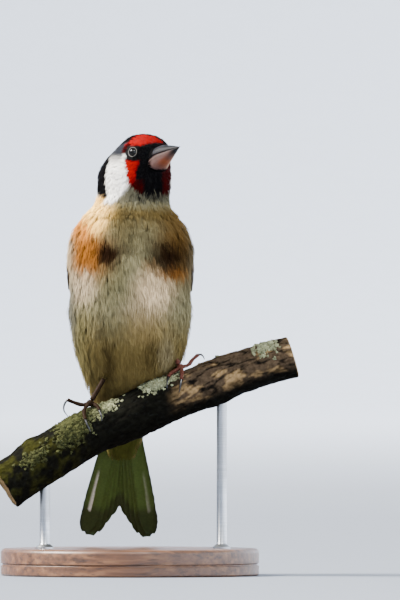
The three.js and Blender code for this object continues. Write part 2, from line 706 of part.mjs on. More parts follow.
node("head", head(), MATERIALS.head);
node("bill_upper", billUpper(), MATERIALS.bill);
node("bill_lower", billLower(), MATERIALS.bill);
node("eye_left", eyeball(1), MATERIALS.eye);
node("eye_right", eyeball(-1), MATERIALS.eye);
node("neck", bodyNode("neck"), MATERIALS.plumage);
node("breast", bodyNode("breast"), MATERIALS.plumage);
node("belly", largest(bodyNode("belly").subtract(perchSwollen)), MATERIALS.plumage);
node("rump", largest(bodyNode("rump").subtract(perchSwollen).subtract(tailSwollen)), MATERIALS.plumage);
node("tail", tail(), MATERIALS.flight);
for (const side of ["left", "right"]) {
  node(`wing_${side}`, wing(side), MATERIALS.flight);
  node(`thigh_${side}`, largest(thigh(side).subtract(bodySwollen).subtract(footSwollen[side])), MATERIALS.plumage);
  node(`shank_${side}`, shank(side), MATERIALS.leg);
  node(`foot_${side}`, foot(side), MATERIALS.leg);
  for (const toe of Object.keys(LEGS[side].toes)) {
    node(`claw_${toe}_${side}`, claw(side, toe), MATERIALS.claw);
  }
  node(`stand_rod_${side}`, rod(side), MATERIALS.rod);
}
node("perch_branch", perch(), MATERIALS.bark);
bird.position.set(0, PERCH_SET_BACK, PERCH_HEIGHT);

const model = new THREE.Group();
model.add(bird);
model.add(mesh("stand_base", base(), MATERIALS.base));

export default model;
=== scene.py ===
# A European goldfinch, life size, on a short cut length of branch held by a plain stand.
# Sizes are in millimetres and places in the perch frame, whose origin is on the branch between the feet;
# the bird faces -Y and its left side is towards +X.
import math

import bpy
import numpy as np
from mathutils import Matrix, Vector, noise
from mathutils.bvhtree import BVHTree

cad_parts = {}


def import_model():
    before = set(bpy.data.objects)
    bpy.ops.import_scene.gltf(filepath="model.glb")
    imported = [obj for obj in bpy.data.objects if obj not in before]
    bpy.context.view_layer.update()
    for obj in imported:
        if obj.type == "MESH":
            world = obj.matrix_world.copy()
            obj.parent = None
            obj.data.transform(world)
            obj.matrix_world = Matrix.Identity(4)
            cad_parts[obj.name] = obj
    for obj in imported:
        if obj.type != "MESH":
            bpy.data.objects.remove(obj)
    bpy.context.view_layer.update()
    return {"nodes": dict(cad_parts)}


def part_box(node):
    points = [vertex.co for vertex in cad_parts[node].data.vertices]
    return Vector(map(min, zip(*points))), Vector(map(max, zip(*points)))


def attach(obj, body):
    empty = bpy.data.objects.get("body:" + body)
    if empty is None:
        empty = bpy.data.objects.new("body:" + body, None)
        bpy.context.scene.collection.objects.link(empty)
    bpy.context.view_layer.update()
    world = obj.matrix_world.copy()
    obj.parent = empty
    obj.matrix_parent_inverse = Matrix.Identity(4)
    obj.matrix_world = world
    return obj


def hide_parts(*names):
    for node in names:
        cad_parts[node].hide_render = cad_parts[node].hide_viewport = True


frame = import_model()

MM = 0.001
PERCH_ORIGIN = np.array([0.0, -3.0, 46.6])
UP = np.array([0.0, 0.0, 1.0])
SIDES = ("left", "right")

# The camera: the height that its view takes in, its place across and up in the solids' own frame, and its
# distance from the bird. The photo is 400 by 600 and shows 3.4 pixels to a millimetre
FRAME_HEIGHT = 176.5
CAMERA_PLACE = (20.6, 81.1)
CAMERA_DISTANCE = 4500
SENSOR = 36

# The body's sections from the crown to the tips of the tail coverts: centre, half width, depth to the front
# and to the back, turn with the head, and slope of the section's plane
SECTIONS = np.array([
    [4.1, -7.4, 83.1, 0, 0, 0, 34, 0],
    [4.1, -7.2, 82.4, 4.0, 4.4, 4.0, 34, 0],
    [4.2, -7.4, 80.3, 6.9, 7.3, 6.6, 34, 0],
    [3.4, -6.3, 77.8, 8.4, 8.7, 8.4, 34, 0],
    [2.4, -4.8, 75.2, 9.5, 10.1, 10.5, 34, 0],
    [1.4, -3.3, 71.4, 10.5, 11.6, 11.5, 34, 0],
    [1.2, -3.0, 68.0, 10.6, 11.8, 11.6, 33, 0],
    [0.9, -2.8, 64.6, 10.7, 11.6, 11.6, 27, 0],
    [0.4, -2.7, 61.3, 12.0, 12.3, 12.0, 16, 0],
    [0.1, -2.8, 57.9, 14.8, 13.7, 13.2, 7, 0],
    [0.1, -3.0, 52.0, 17.6, 15.6, 14.8, 2, 2],
    [0.1, -3.0, 43.4, 18.4, 17.0, 15.6, 0, 4],
    [0.1, -2.0, 34.4, 18.1, 17.2, 15.6, 0, 8],
    [0.1, 0.2, 25.6, 17.1, 15.8, 15.2, 0, 16],
    [-0.1, 3.5, 18.2, 15.3, 12.0, 13.6, 0, 24],
    [-0.6, 7.0, 12.0, 12.7, 8.8, 11.8, 0, 29],
    [-1.3, 10.3, 6.9, 10.0, 7.4, 9.4, 0, 30],
    [-1.8, 13.4, 2.0, 8.0, 5.8, 7.2, 0, 30],
    [-2.1, 16.3, -3.2, 6.4, 4.5, 5.0, 0, 30],
    [-2.4, 19.0, -7.6, 5.2, 3.4, 3.0, 0, 30],
    [-2.6, 21.3, -11.8, 3.6, 1.9, 1.2, 0, 30],
])
SECTION_POWER = 2.15
LAST_STATION = len(SECTIONS) - 1

# The head
HEAD_TURN = math.radians(34)
NECK_AXIS = np.array([1.2, -3.0, 0.0])
AHEAD = np.array([math.sin(HEAD_TURN), -math.cos(HEAD_TURN), 0.0])
LEFT = np.array([math.cos(HEAD_TURN), math.sin(HEAD_TURN), 0.0])
EYE_FACING = math.radians(62)
EYE_LIFT = math.radians(12)
BILL_PLACE = (12.7, 76.7)
BILL_LENGTH = 11.8
BILL_PITCH = math.radians(13)
BILL_ROOT = 2.2
BILL_HALF_WIDTH = 3.0
CULMEN_HEIGHT = 2.9
CHIN_DEPTH = 4.9

# The folded wings, drawn for the left side: points of their lower and upper edges from shoulder to tip
WING_LOWER = [
    [14.0, -4.5, 53], [16.0, 0, 43], [15.2, 6.2, 29], [12.9, 12.8, 14.5], [7.4, 20.8, -3], [4.4, 29.0, -18],
]
WING_UPPER = [
    [8.6, 6.5, 57.5], [6.4, 11.4, 47], [5.2, 14.4, 32], [4.2, 18.0, 16], [2.2, 23.4, -2], [1.0, 29.6, -18.5],
]
WING_BULGE = 0.16
SHOULDER_LIFT = 1.2
SHOULDER_REACH = 0.36
EDGE_LIFT = 0.7
EDGE_PLACE = (0.17, 0.12)
EDGE_SPREAD = (0.09, 0.16)
SHOULDER_SINK = 2.6
WING_MIDDLE = 0.1
WING_LEAN = 2.8
WING_TUCK = 0.2

# The tail
TAIL_ROOT = np.array([-1.6, 11.6, 7.4])
TAIL_SLOPE = math.radians(30)
TAIL_LEAN = -2.4
TAIL_HALF = 2.75
TAIL_STEP = 0.28
TAIL_BASE = 0.15
TAIL_FEATHERS = [
    {"spread": 10.2, "start": 0.9, "length": 49.4},
    {"spread": 8.7, "start": 0.8, "length": 50.4},
    {"spread": 7.0, "start": 0.7, "length": 49.0},
    {"spread": 5.2, "start": 0.6, "length": 45.8},
    {"spread": 3.4, "start": 0.45, "length": 43.2},
    {"spread": 1.7, "start": 0.3, "length": 40.4},
]

# What each random part of the model starts from
SEEDS = {
    "coat": 7, "wing_left": 21, "wing_right": 22, "scapulars_left": 31, "scapulars_right": 32, "tail": 41,
    "lichen": 51, "bristles": 61, "thigh_left": 71, "thigh_right": 72,
}


# Small helpers

def seeded(name):
    return np.random.default_rng(SEEDS[name])


def smoothstep(value, low, high):
    t = np.clip((value - low) / (high - low), 0, 1)
    return t * t * (3 - 2 * t)


def mix(a, b, share):
    return a + (b - a) * share


def unit(vectors):
    return vectors / np.maximum(np.linalg.norm(vectors, axis=-1, keepdims=True), 1e-9)


def dot(a, b):
    return np.sum(a * b, axis=-1)


def length_of(vectors):
    return np.linalg.norm(vectors, axis=-1)


def stacked(*parts):
    """Points or vectors from arrays of their parts."""
    return np.stack(parts, axis=-1)


def between(at, places, points):
    """Points between the given ones, which have their own places along a line."""
    return stacked(*(np.interp(at, places, points[:, k]) for k in range(3)))


def round_angles(count):
    return np.linspace(0, 2 * np.pi, count, endpoint=False)


def tree_of(points, triangles):
    """The surface, ready to be searched for its nearest places."""
    return BVHTree.FromPolygons(points.tolist(), triangles.tolist())


def colour(red, green, blue):
    """A colour given as 0 to 255, as linear light."""
    values = np.array([red, green, blue]) / 255
    return np.where(values <= 0.04045, values / 12.92, ((values + 0.055) / 1.055) ** 2.4)


def world(points):
    return (np.asarray(points) + PERCH_ORIGIN) * MM


def perch_frame(points):
    return np.asarray(points) / MM - PERCH_ORIGIN


def curve_through(points, shares):
    """Points at the given shares of the length of a smooth curve through the points."""
    points = np.asarray(points, float)
    slopes = np.gradient(points, axis=0)
    t = np.linspace(0, len(points) - 1, 40 * len(points))
    fine = hermite(points, slopes, t)
    lengths = np.concatenate([[0], np.cumsum(length_of(np.diff(fine, axis=0)))])
    place = np.clip(shares, 0, 1) * lengths[-1]
    return between(place, lengths, fine)


def hermite(rows, slopes, t):
    i = np.minimum(t.astype(int), len(rows) - 2)
    f = (t - i)[..., None]
    return ((2 * f ** 3 - 3 * f ** 2 + 1) * rows[i] + (f ** 3 - 2 * f ** 2 + f) * slopes[i]
            + (3 * f ** 2 - 2 * f ** 3) * rows[i + 1] + (f ** 3 - f ** 2) * slopes[i + 1])


# Meshes from arrays

def mesh_from(name, points, faces):
    """A mesh from points in the perch frame and an array of triangles or of four-sided faces."""
    mesh = bpy.data.meshes.new(name)
    mesh.vertices.add(len(points))
    mesh.vertices.foreach_set("co", world(points).astype(np.float32).ravel())
    mesh.loops.add(faces.size)
    mesh.loops.foreach_set("vertex_index", faces.astype(np.int32).ravel())
    mesh.polygons.add(len(faces))
    mesh.polygons.foreach_set("loop_start", np.arange(0, faces.size, faces.shape[1], dtype=np.int32))
    mesh.update(calc_edges=True)
    mesh.shade_smooth()
    return mesh


def paint(mesh, colours):
    """Gives the mesh its tints: one for each point, or one for all."""
    rgba = np.ones((len(mesh.vertices), 4), np.float32)
    rgba[:, :3] = colours
    layer = mesh.color_attributes.new(name="tint", type="FLOAT_COLOR", domain="POINT")
    layer.data.foreach_set("color", rgba.ravel())


def corner_points(mesh):
    """Which point is at each corner of the faces."""
    corners = np.empty(len(mesh.loops), np.int32)
    mesh.loops.foreach_get("vertex_index", corners)
    return corners


def unwrap(mesh, places, name="OFBake"):
    """A UV map from the place of each corner of the faces."""
    layer = mesh.uv_layers.new(name=name)
    layer.data.foreach_set("uv", places.astype(np.float32).ravel())


def add_object(name, data):
    made = bpy.data.objects.new(name, data)
    bpy.context.collection.objects.link(made)
    return made


def piece(name, mesh, material, replaces=()):
    mesh.materials.append(material)
    made = add_object(name, mesh)
    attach(made, "root")
    if replaces:
        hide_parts(*replaces)
    return made


def grid_faces(rows, columns, closed=False):
    """Faces of a grid of points, row by row. A closed grid joins its last column to its first."""
    i, j = np.meshgrid(np.arange(rows - 1), np.arange(columns if closed else columns - 1), indexing="ij")
    right = (j + 1) % columns
    corners = [i * columns + j, i * columns + right, (i + 1) * columns + right, (i + 1) * columns + j]
    return np.stack(corners, axis=-1).reshape(-1, 4)


def as_triangles(faces):
    return np.concatenate([faces[:, [0, 1, 2]], faces[:, [0, 2, 3]]])


def capped_tube(rings):
    """Points and triangles of a closed tube over rings of points, with a fan at each end."""
    count, sides = rings.shape[:2]
    points = np.concatenate([rings.reshape(-1, 3), rings[:1].mean(axis=1), rings[-1:].mean(axis=1)])
    around = np.arange(sides)
    after = (around + 1) % sides
    start = stacked(after, around, np.full(sides, count * sides))
    last = (count - 1) * sides
    end = stacked(last + around, last + after, np.full(sides, count * sides + 1))
    return points, np.concatenate([as_triangles(grid_faces(count, sides, True)), start, end])


def facing_out(points, triangles):
    """The same triangles, turned over where they enclose their volume inside out."""
    a, b, c = (points[triangles[:, k]] for k in range(3))
    if np.sum(dot(a, np.cross(b, c))) < 0:
        return triangles[:, ::-1]
    return triangles


def refined(node, voxel, smoothing):
    """A fine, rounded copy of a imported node, as a mesh."""
    mesh = frame["nodes"][node].data.copy()
    mesh.materials.clear()
    holder = add_object("refined", mesh)
    remesh = holder.modifiers.new("remesh", "REMESH")
    remesh.mode = "VOXEL"
    remesh.voxel_size = voxel * MM
    rounding = holder.modifiers.new("rounding", "SMOOTH")
    rounding.factor = 0.5
    rounding.iterations = smoothing
    graph = bpy.context.evaluated_depsgraph_get()
    fine = bpy.data.meshes.new_from_object(holder.evaluated_get(graph))
    bpy.data.objects.remove(holder)
    bpy.data.meshes.remove(mesh)
    fine.shade_smooth()
    return fine


def read(mesh, what):
    """The places or the normals of the mesh's points, as the mesh holds them."""
    values = np.empty(len(mesh.vertices) * 3, np.float32)
    mesh.vertices.foreach_get(what, values)
    return values.reshape(-1, 3).astype(float)


def read_points(mesh):
    return perch_frame(read(mesh, "co"))


def write_points(mesh, points):
    mesh.vertices.foreach_set("co", world(points).astype(np.float32).ravel())
    mesh.update()


# Materials

# Surfaces with the mesh's own tint: roughness, other sockets, darkest and lightest grain, the grain's scale
# and stretch, and its relief's strength and depth
SPECULAR = "Specular IOR Level"
SURFACES = {
    "body_plumage": (0.85, {SPECULAR: 0.03}, (0.86, 1.1), 900, (1, 1, 0.35), (0.4, 0.08)),
    "skin_under_coat": (0.9, {SPECULAR: 0.15}, (0.5, 0.85), 1400, (1, 1, 1), (0.6, 0.15)),
    "eye_gloss": (0.03, {SPECULAR: 0.2}, (0.7, 1.2), 2600, (1, 1, 1), (0.05, 0.01)),
    "eye_lid": (0.6, {}, (0.75, 1.15), 3000, (1, 1, 1), (0.7, 0.05)),
    "bill_horn": (0.48, {SPECULAR: 0.12, "Subsurface Weight": 0.08, "Subsurface Scale": 0.5 * MM},
                  (0.86, 1.1), 700, (1, 1, 2.5), (0.25, 0.04)),
    "leg_scales": (0.6, {SPECULAR: 0.06}, (0.7, 1.2), 2200, (1, 1, 1), (0.5, 0.05)),
    "claw_horn": (0.3, {"Coat Weight": 0.3}, (0.7, 1.25), 1800, (1, 1, 1), (0.3, 0.03)),
    "bark": (0.9, {SPECULAR: 0.02}, (0.6, 1.3), 900, (1, 1, 1), (0.9, 0.3)),
    "lichen": (0.95, {SPECULAR: 0.08}, (0.75, 1.15), 2400, (1, 1, 1), (0.8, 0.12)),
    "paper": (0.9, {SPECULAR: 0.1}, (0.98, 1.0), 60, (1, 1, 1), None),
}


def new_material(name, roughness, sockets):
    """A material with its nodes, its links and its shader."""
    made = bpy.data.materials.new(name)
    made.use_nodes = True
    shader = made.node_tree.nodes["Principled BSDF"]
    shader.inputs["Roughness"].default_value = roughness
    for socket, value in sockets.items():
        shader.inputs[socket].default_value = value
    return made, made.node_tree.nodes, made.node_tree.links, shader


def noise_node(nodes, links, scale, detail=4, stretch=(1, 1, 1)):
    """Noise over the object's own coordinates, in metres, pulled long by its stretch."""
    place = nodes.new("ShaderNodeTexCoord")
    mapping = nodes.new("ShaderNodeMapping")
    mapping.inputs["Scale"].default_value = stretch
    texture = nodes.new("ShaderNodeTexNoise")
    texture.inputs["Scale"].default_value = scale
    texture.inputs["Detail"].default_value = detail
    links.new(place.outputs["Object"], mapping.inputs["Vector"])
    links.new(mapping.outputs["Vector"], texture.inputs["Vector"])
    return texture


def ramp_node(nodes, links, source, stops):
    """A colour ramp over a value; each stop is a place and a colour."""
    ramp = nodes.new("ShaderNodeValToRGB")
    while len(ramp.color_ramp.elements) < len(stops):
        ramp.color_ramp.elements.new(0.5)
    for element, (place, shade) in zip(ramp.color_ramp.elements, stops):
        element.position = place
        element.color = (*shade, 1)
    links.new(source, ramp.inputs["Fac"])
    return ramp


def mix_node(nodes, links, blend, factor, first, second):
    """Mixes two colours; each may be an output or a plain colour."""
    node = nodes.new("ShaderNodeMix")
    node.data_type = "RGBA"
    node.blend_type = blend
    for socket, value in ((node.inputs[0], factor), (node.inputs[6], first), (node.inputs[7], second)):
        if isinstance(value, bpy.types.NodeSocket):
            links.new(value, socket)
        else:
            socket.default_value = value
    return node.outputs[2]


def bump_node(nodes, links, shader, height, strength, distance):
    node = nodes.new("ShaderNodeBump")
    node.inputs["Strength"].default_value = strength
    node.inputs["Distance"].default_value = distance * MM
    links.new(height, node.inputs["Height"])
    links.new(node.outputs["Normal"], shader.inputs["Normal"])


def tinted(nodes, links, shader, low, high, scale, stretch=(1, 1, 1)):
    """Colours the shader by the mesh's own tint, lightened and darkened a little by noise."""
    tint = nodes.new("ShaderNodeAttribute")
    tint.attribute_name = "tint"
    grain = noise_node(nodes, links, scale, 3, stretch)
    shade = ramp_node(nodes, links, grain.outputs["Fac"], [(0.3, (low,) * 3), (0.7, (high,) * 3)])
    result = mix_node(nodes, links, "MULTIPLY", 1.0, tint.outputs["Color"], shade.outputs["Color"])
    links.new(result, shader.inputs["Base Color"])
    return grain


def surface(name):
    roughness, sockets, (low, high), scale, stretch, relief = SURFACES[name]
    made, nodes, links, shader = new_material(name, roughness, sockets)
    grain = tinted(nodes, links, shader, low, high, scale, stretch)
    if relief:
        bump_node(nodes, links, shader, grain.outputs["Fac"], *relief)
    return made


def vane_material():
    """Flight feathers: fine slanting barbs on both sides of the shaft, with a slight gloss."""
    made, nodes, links, shader = new_material("flight_feather_vane", 0.55, {SPECULAR: 0.2})
    tinted(nodes, links, shader, 0.85, 1.12, 1500)
    place = nodes.new("ShaderNodeUVMap")
    place.uv_map = "vane"
    barbs = nodes.new("ShaderNodeTexWave")
    barbs.wave_type = "BANDS"
    barbs.bands_direction = "Y"
    barbs.inputs["Scale"].default_value = 1.1
    barbs.inputs["Distortion"].default_value = 1.2
    barbs.inputs["Detail"].default_value = 2
    links.new(place.outputs["UV"], barbs.inputs["Vector"])
    bump_node(nodes, links, shader, barbs.outputs["Fac"], 0.5, 0.05)
    return made


def base_material():
    """Dark oiled walnut: long grain with fine pores."""
    gloss = {"Coat Weight": 0.15, "Coat Roughness": 0.3}
    made, nodes, links, shader = new_material("oiled_wood", 0.42, gloss)
    grain = noise_node(nodes, links, 55, 5, (1, 12, 12))
    pores = noise_node(nodes, links, 900, 2, (0.12, 1, 1))
    stops = [(0.3, colour(62, 38, 23)), (0.52, colour(92, 60, 38)), (0.7, colour(118, 82, 54))]
    wood = ramp_node(nodes, links, grain.outputs["Fac"], stops)
    dots = ramp_node(nodes, links, pores.outputs["Fac"], [(0.36, (0.45,) * 3), (0.46, (1,) * 3)])
    result = mix_node(nodes, links, "MULTIPLY", 0.8, wood.outputs["Color"], dots.outputs["Color"])
    links.new(result, shader.inputs["Base Color"])
    bump_node(nodes, links, shader, pores.outputs["Fac"], 0.3, 0.06)
    return made


def rod_material():
    """Brushed steel: fine rings round the rod."""
    made, nodes, links, shader = new_material("brushed_steel", 0.32, {"Metallic": 1.0})
    rings = noise_node(nodes, links, 420, 2, (0.02, 0.02, 12))
    stops = [(0.35, colour(168, 170, 172)), (0.65, colour(188, 189, 190))]
    metal = ramp_node(nodes, links, rings.outputs["Fac"], stops)
    links.new(metal.outputs["Color"], shader.inputs["Base Color"])
    bump_node(nodes, links, shader, rings.outputs["Fac"], 0.06, 0.01)
    return made


# The body's surface

def section_at(station):
    station = np.clip(station, 0, LAST_STATION)
    return hermite(SECTIONS, np.gradient(SECTIONS, axis=0), np.asarray(station, float))


def body_point(station, angle, swell=0.0):
    """A point of the body: angle runs round from the front towards the bird's left."""
    x, y, z, side, front, back, turn, slope = np.moveaxis(section_at(station), -1, 0)
    turn = np.radians(turn)
    slope = np.radians(slope)
    ahead = stacked(np.sin(turn) * np.cos(slope), -np.cos(turn) * np.cos(slope), -np.sin(slope))
    left = stacked(np.cos(turn), np.sin(turn), np.zeros_like(turn))
    side = np.maximum(side + swell, 1e-3)
    deep = np.maximum(np.where(np.cos(angle) > 0, front, back) + swell, 1e-3)
    across = np.abs(np.sin(angle)) / side
    along = np.abs(np.cos(angle)) / deep
    reach = (across ** SECTION_POWER + along ** SECTION_POWER) ** (-1 / SECTION_POWER)
    centre = stacked(x, y, z)
    return centre + ahead * (reach * np.cos(angle))[..., None] + left * (reach * np.sin(angle))[..., None]


def coat_depth(station):
    """How far the coat's tips stand over the skin."""
    return np.interp(station, [0, 3, 6, 9, 13, 17, 20], [0.6, 0.65, 0.95, 1.5, 1.9, 1.6, 0.8])


# The skin's rings lie a little closer together towards the crown
SKIN_RINGS = 200
SKIN_SIDES = 144
RING_CROWDING = 1.15


def skin_grid():
    shares = np.linspace(0, 1, SKIN_RINGS)
    station = LAST_STATION * shares ** RING_CROWDING
    angle = round_angles(SKIN_SIDES) + np.pi
    station, angle = np.meshgrid(station, angle, indexing="ij")
    return station, angle, body_point(station, angle, -coat_depth(station))


def head_coordinates(points):
    """How far points lie forward, to the left and up on the head."""
    offset = points - NECK_AXIS
    return dot(offset, AHEAD), dot(offset, LEFT), points[..., 2]


def head_place(forward, left, height):
    return NECK_AXIS + AHEAD * forward + LEFT * left + UP * height


# Markings: colours by place, alike for the skin and the feathers over it; some are painted light and shade

LIT_CREAM = colour(252, 200, 104)
WHITE = colour(246, 242, 234)
BELLY_WHITE = colour(242, 206, 158)
LIT_WHITE = colour(176, 156, 126)
GREY_BUFF = colour(126, 118, 86)
SHADED_THROAT = colour(87, 83, 66)
TAWNY = colour(126, 76, 25)
LIT_TAWNY = colour(176, 108, 42)
OLIVE_GREY = colour(90, 82, 56)
PAINTED_SHADE_OLIVE = colour(60, 52, 30)
MID_OLIVE = colour(84, 80, 52)
WARM_BUFF = colour(146, 118, 68)
LIT_LEFT_EDGE = colour(166, 148, 118)
SHADED_RIGHT_EDGE = colour(88, 80, 62)
GREY_EDGE = colour(82, 81, 72)
PALE_LOCK = colour(140, 128, 96)
SPOT = colour(26, 13, 4)
SHADED_TAWNY = colour(84, 60, 25)
FLANK = colour(101, 93, 58)
OLIVE_BUFF = colour(112, 94, 50)
BAND = colour(92, 73, 33)
VENT_SHADE_AND_REFLECTION = colour(60, 68, 26)
NAPE = colour(236, 182, 90)
BACK = colour(100, 71, 46)
RUMP = colour(216, 204, 182)
RED = colour(150, 1, 2)
CROWN_RED = colour(122, 1, 2)
DARK_RED = colour(46, 0, 0)
BLACK = colour(7, 6, 7)
PAINTED_SHADE_GREY = colour(38, 40, 45)

# Soft patches on the front, some of them painted light and shade: place across and height, reach across
# and up, strength, and colour
BREAST_PATCHES = [
    (1.5, 54.5, 9.5, 5.0, 0.8, OLIVE_GREY),
    # Painted shade over the middle of the upper breast, where the key light stops
    (-1.6, 57.5, 3.2, 8.0, 0.6, PAINTED_SHADE_OLIVE),
    (-4.8, 41.5, 4.2, 6.5, 0.52, MID_OLIVE),
    (-12.4, 48.8, 7.0, 7.6, 1.05, TAWNY),
    (-13.4, 56.6, 4.6, 3.9, 1.0, LIT_TAWNY),
    (13.6, 50.5, 6.4, 11.0, 1.0, SHADED_TAWNY),
    # The shoulder's pale buff, laid on the left side only and brightened there as painted light
    (-10.2, 62.0, 5.0, 4.2, 1.0, LIT_CREAM),
    (-9.2, 57.0, 2.4, 2.2, 0.8, LIT_CREAM),
    # Painted light along the left outline
    (-19.0, 50.0, 3.0, 9.5, 1.0, LIT_LEFT_EDGE),
    # Painted shade along the right outline
    (18.8, 46.0, 2.6, 11.0, 0.7, SHADED_RIGHT_EDGE),
    (-14.0, 39.2, 4.4, 4.8, 0.85, LIT_WHITE),
    (-18.2, 31.5, 3.2, 12.5, 0.95, GREY_EDGE),
    (6.8, 38.9, 5.5, 5.6, 0.74, BELLY_WHITE),
    (4.5, 32.8, 6.5, 4.0, 0.3, BELLY_WHITE),
    (6.0, 45.6, 2.6, 2.0, 0.4, TAWNY),
    (4.5, 27.5, 7.0, 5.0, 0.45, WARM_BUFF),
    (12.4, 43.2, 4.4, 2.0, 0.85, TAWNY),
    (-6.2, 48.9, 4.0, 4.0, 1.08, SPOT),
    (11.0, 48.0, 5.3, 4.9, 0.99, SPOT),
    (5.8, 49.6, 2.8, 2.6, 0.4, SPOT),
    (-1.5, 49.4, 3.4, 2.0, 0.55, SPOT),
    (-8.6, 27.5, 1.8, 4.2, 0.4, SPOT),
    (-6.2, 17.0, 1.7, 7.0, 0.65, SPOT),
    (6.0, 19.5, 2.4, 5.0, 0.45, SPOT),
    (10.6, 19.8, 2.4, 5.0, 0.6, PALE_LOCK),
]


def cover(base, shade, mask):
    return base + (shade - base) * np.clip(mask, 0, 1)[..., None]


# Lines of the head's markings, each over a height, a distance to the left or an angle round the head: the
# middle of the face, the edges of the white behind it, the nape's lower edge, the crown's front and lower
# edges, and the brow, back, chin and cheek of the face. On the head's left, far side the crown's black
# reaches further forward and lower, as painted shade
HEAD_LINES = {
    "middle": ([64.6, 68, 71.4, 75.2, 77.8, 80.3, 83.1], [0, 0, 0.4, 2.2, 4.0, 5.3, 5.3]),
    "white_front": ([61, 62, 64.6, 68, 70], [76, 71, 62, 44, 34]),
    "white_back": ([65, 66.4, 70.5, 75.2, 77.8], [80, 82, 89, 99, 126]),
    "nape": ([100, 150, 180], [64.6, 67.0, 69.5]),
    "crown_front": ([-6, -3, -1.2, 1.5, 2.5, 4], [10.6, 8.3, 7.9, 8.9, 9.7, 9.7]),
    "crown_low": ([-130, -80, 0, 60, 120], [80.2, 80.6, 80.6, 79.2, 77.2]),
    "brow": ([0, 25, 45, 80], [80.7, 80.3, 79.6, 79.3]),
    "face_back": ([66, 69, 72, 75, 77.8, 79.6], [36, 42, 47, 56, 66, 80]),
    "chin": ([0, 15, 31, 42, 56], [65.6, 65.8, 67.4, 69.0, 72.0]),
    "cheek": ([69, 72, 76], [31.5, 33, 31]),
}
LEFT_CHIN = 65.9
LEFT_CHEEK = 14
CROWN_SLANT = 0.674


def head_line(name, at):
    return np.interp(at, *HEAD_LINES[name])


def head_azimuth(points):
    """Degrees round the head from its front, positive on its left side."""
    forward, left, height = head_coordinates(points)
    return np.degrees(np.arctan2(left, forward - head_line("middle", height)))


def body_colours(points, angle):
    """Breast, belly and back; angle runs round from the front."""
    x, y, z = np.moveaxis(points, -1, 0)
    ahead = np.cos(angle)
    front = smoothstep(ahead, -0.62, -0.25)
    tint = cover(GREY_BUFF, OLIVE_BUFF, smoothstep(z, 34, 20) * 0.9)
    # Low in front, painted shade and a painted green reflection darken the undertail to olive
    tint = cover(tint, VENT_SHADE_AND_REFLECTION, smoothstep(z, 6, -4) * smoothstep(ahead, -0.1, 0.5) * 0.9)
    tint = cover(tint, BAND, smoothstep(z, 54, 59) * smoothstep(z, 64, 60) * 0.9)
    tint = cover(tint, FLANK, smoothstep(x, -9, -15) * smoothstep(z, 34, 29) * 0.9)
    for across, height, wide, tall, strength, shade in BREAST_PATCHES:
        reach = ((x - across) / wide) ** 2 + ((z - height) / tall) ** 2
        tint = cover(tint, shade, strength * np.exp(-reach ** 1.6) * front)
    behind = 1 - front
    mantle = smoothstep(z, 8, 16)
    tint = cover(tint, BACK, behind * mantle)
    tint = cover(tint, RUMP, behind * smoothstep(z, 16, 8) * smoothstep(z, -3, 1))
    tint = cover(tint, NAPE, behind * smoothstep(z, 54, 62))
    return cover(tint, BACK, smoothstep(ahead, -0.45, -0.9) * smoothstep(z, 68, 58) * mantle * 0.6)


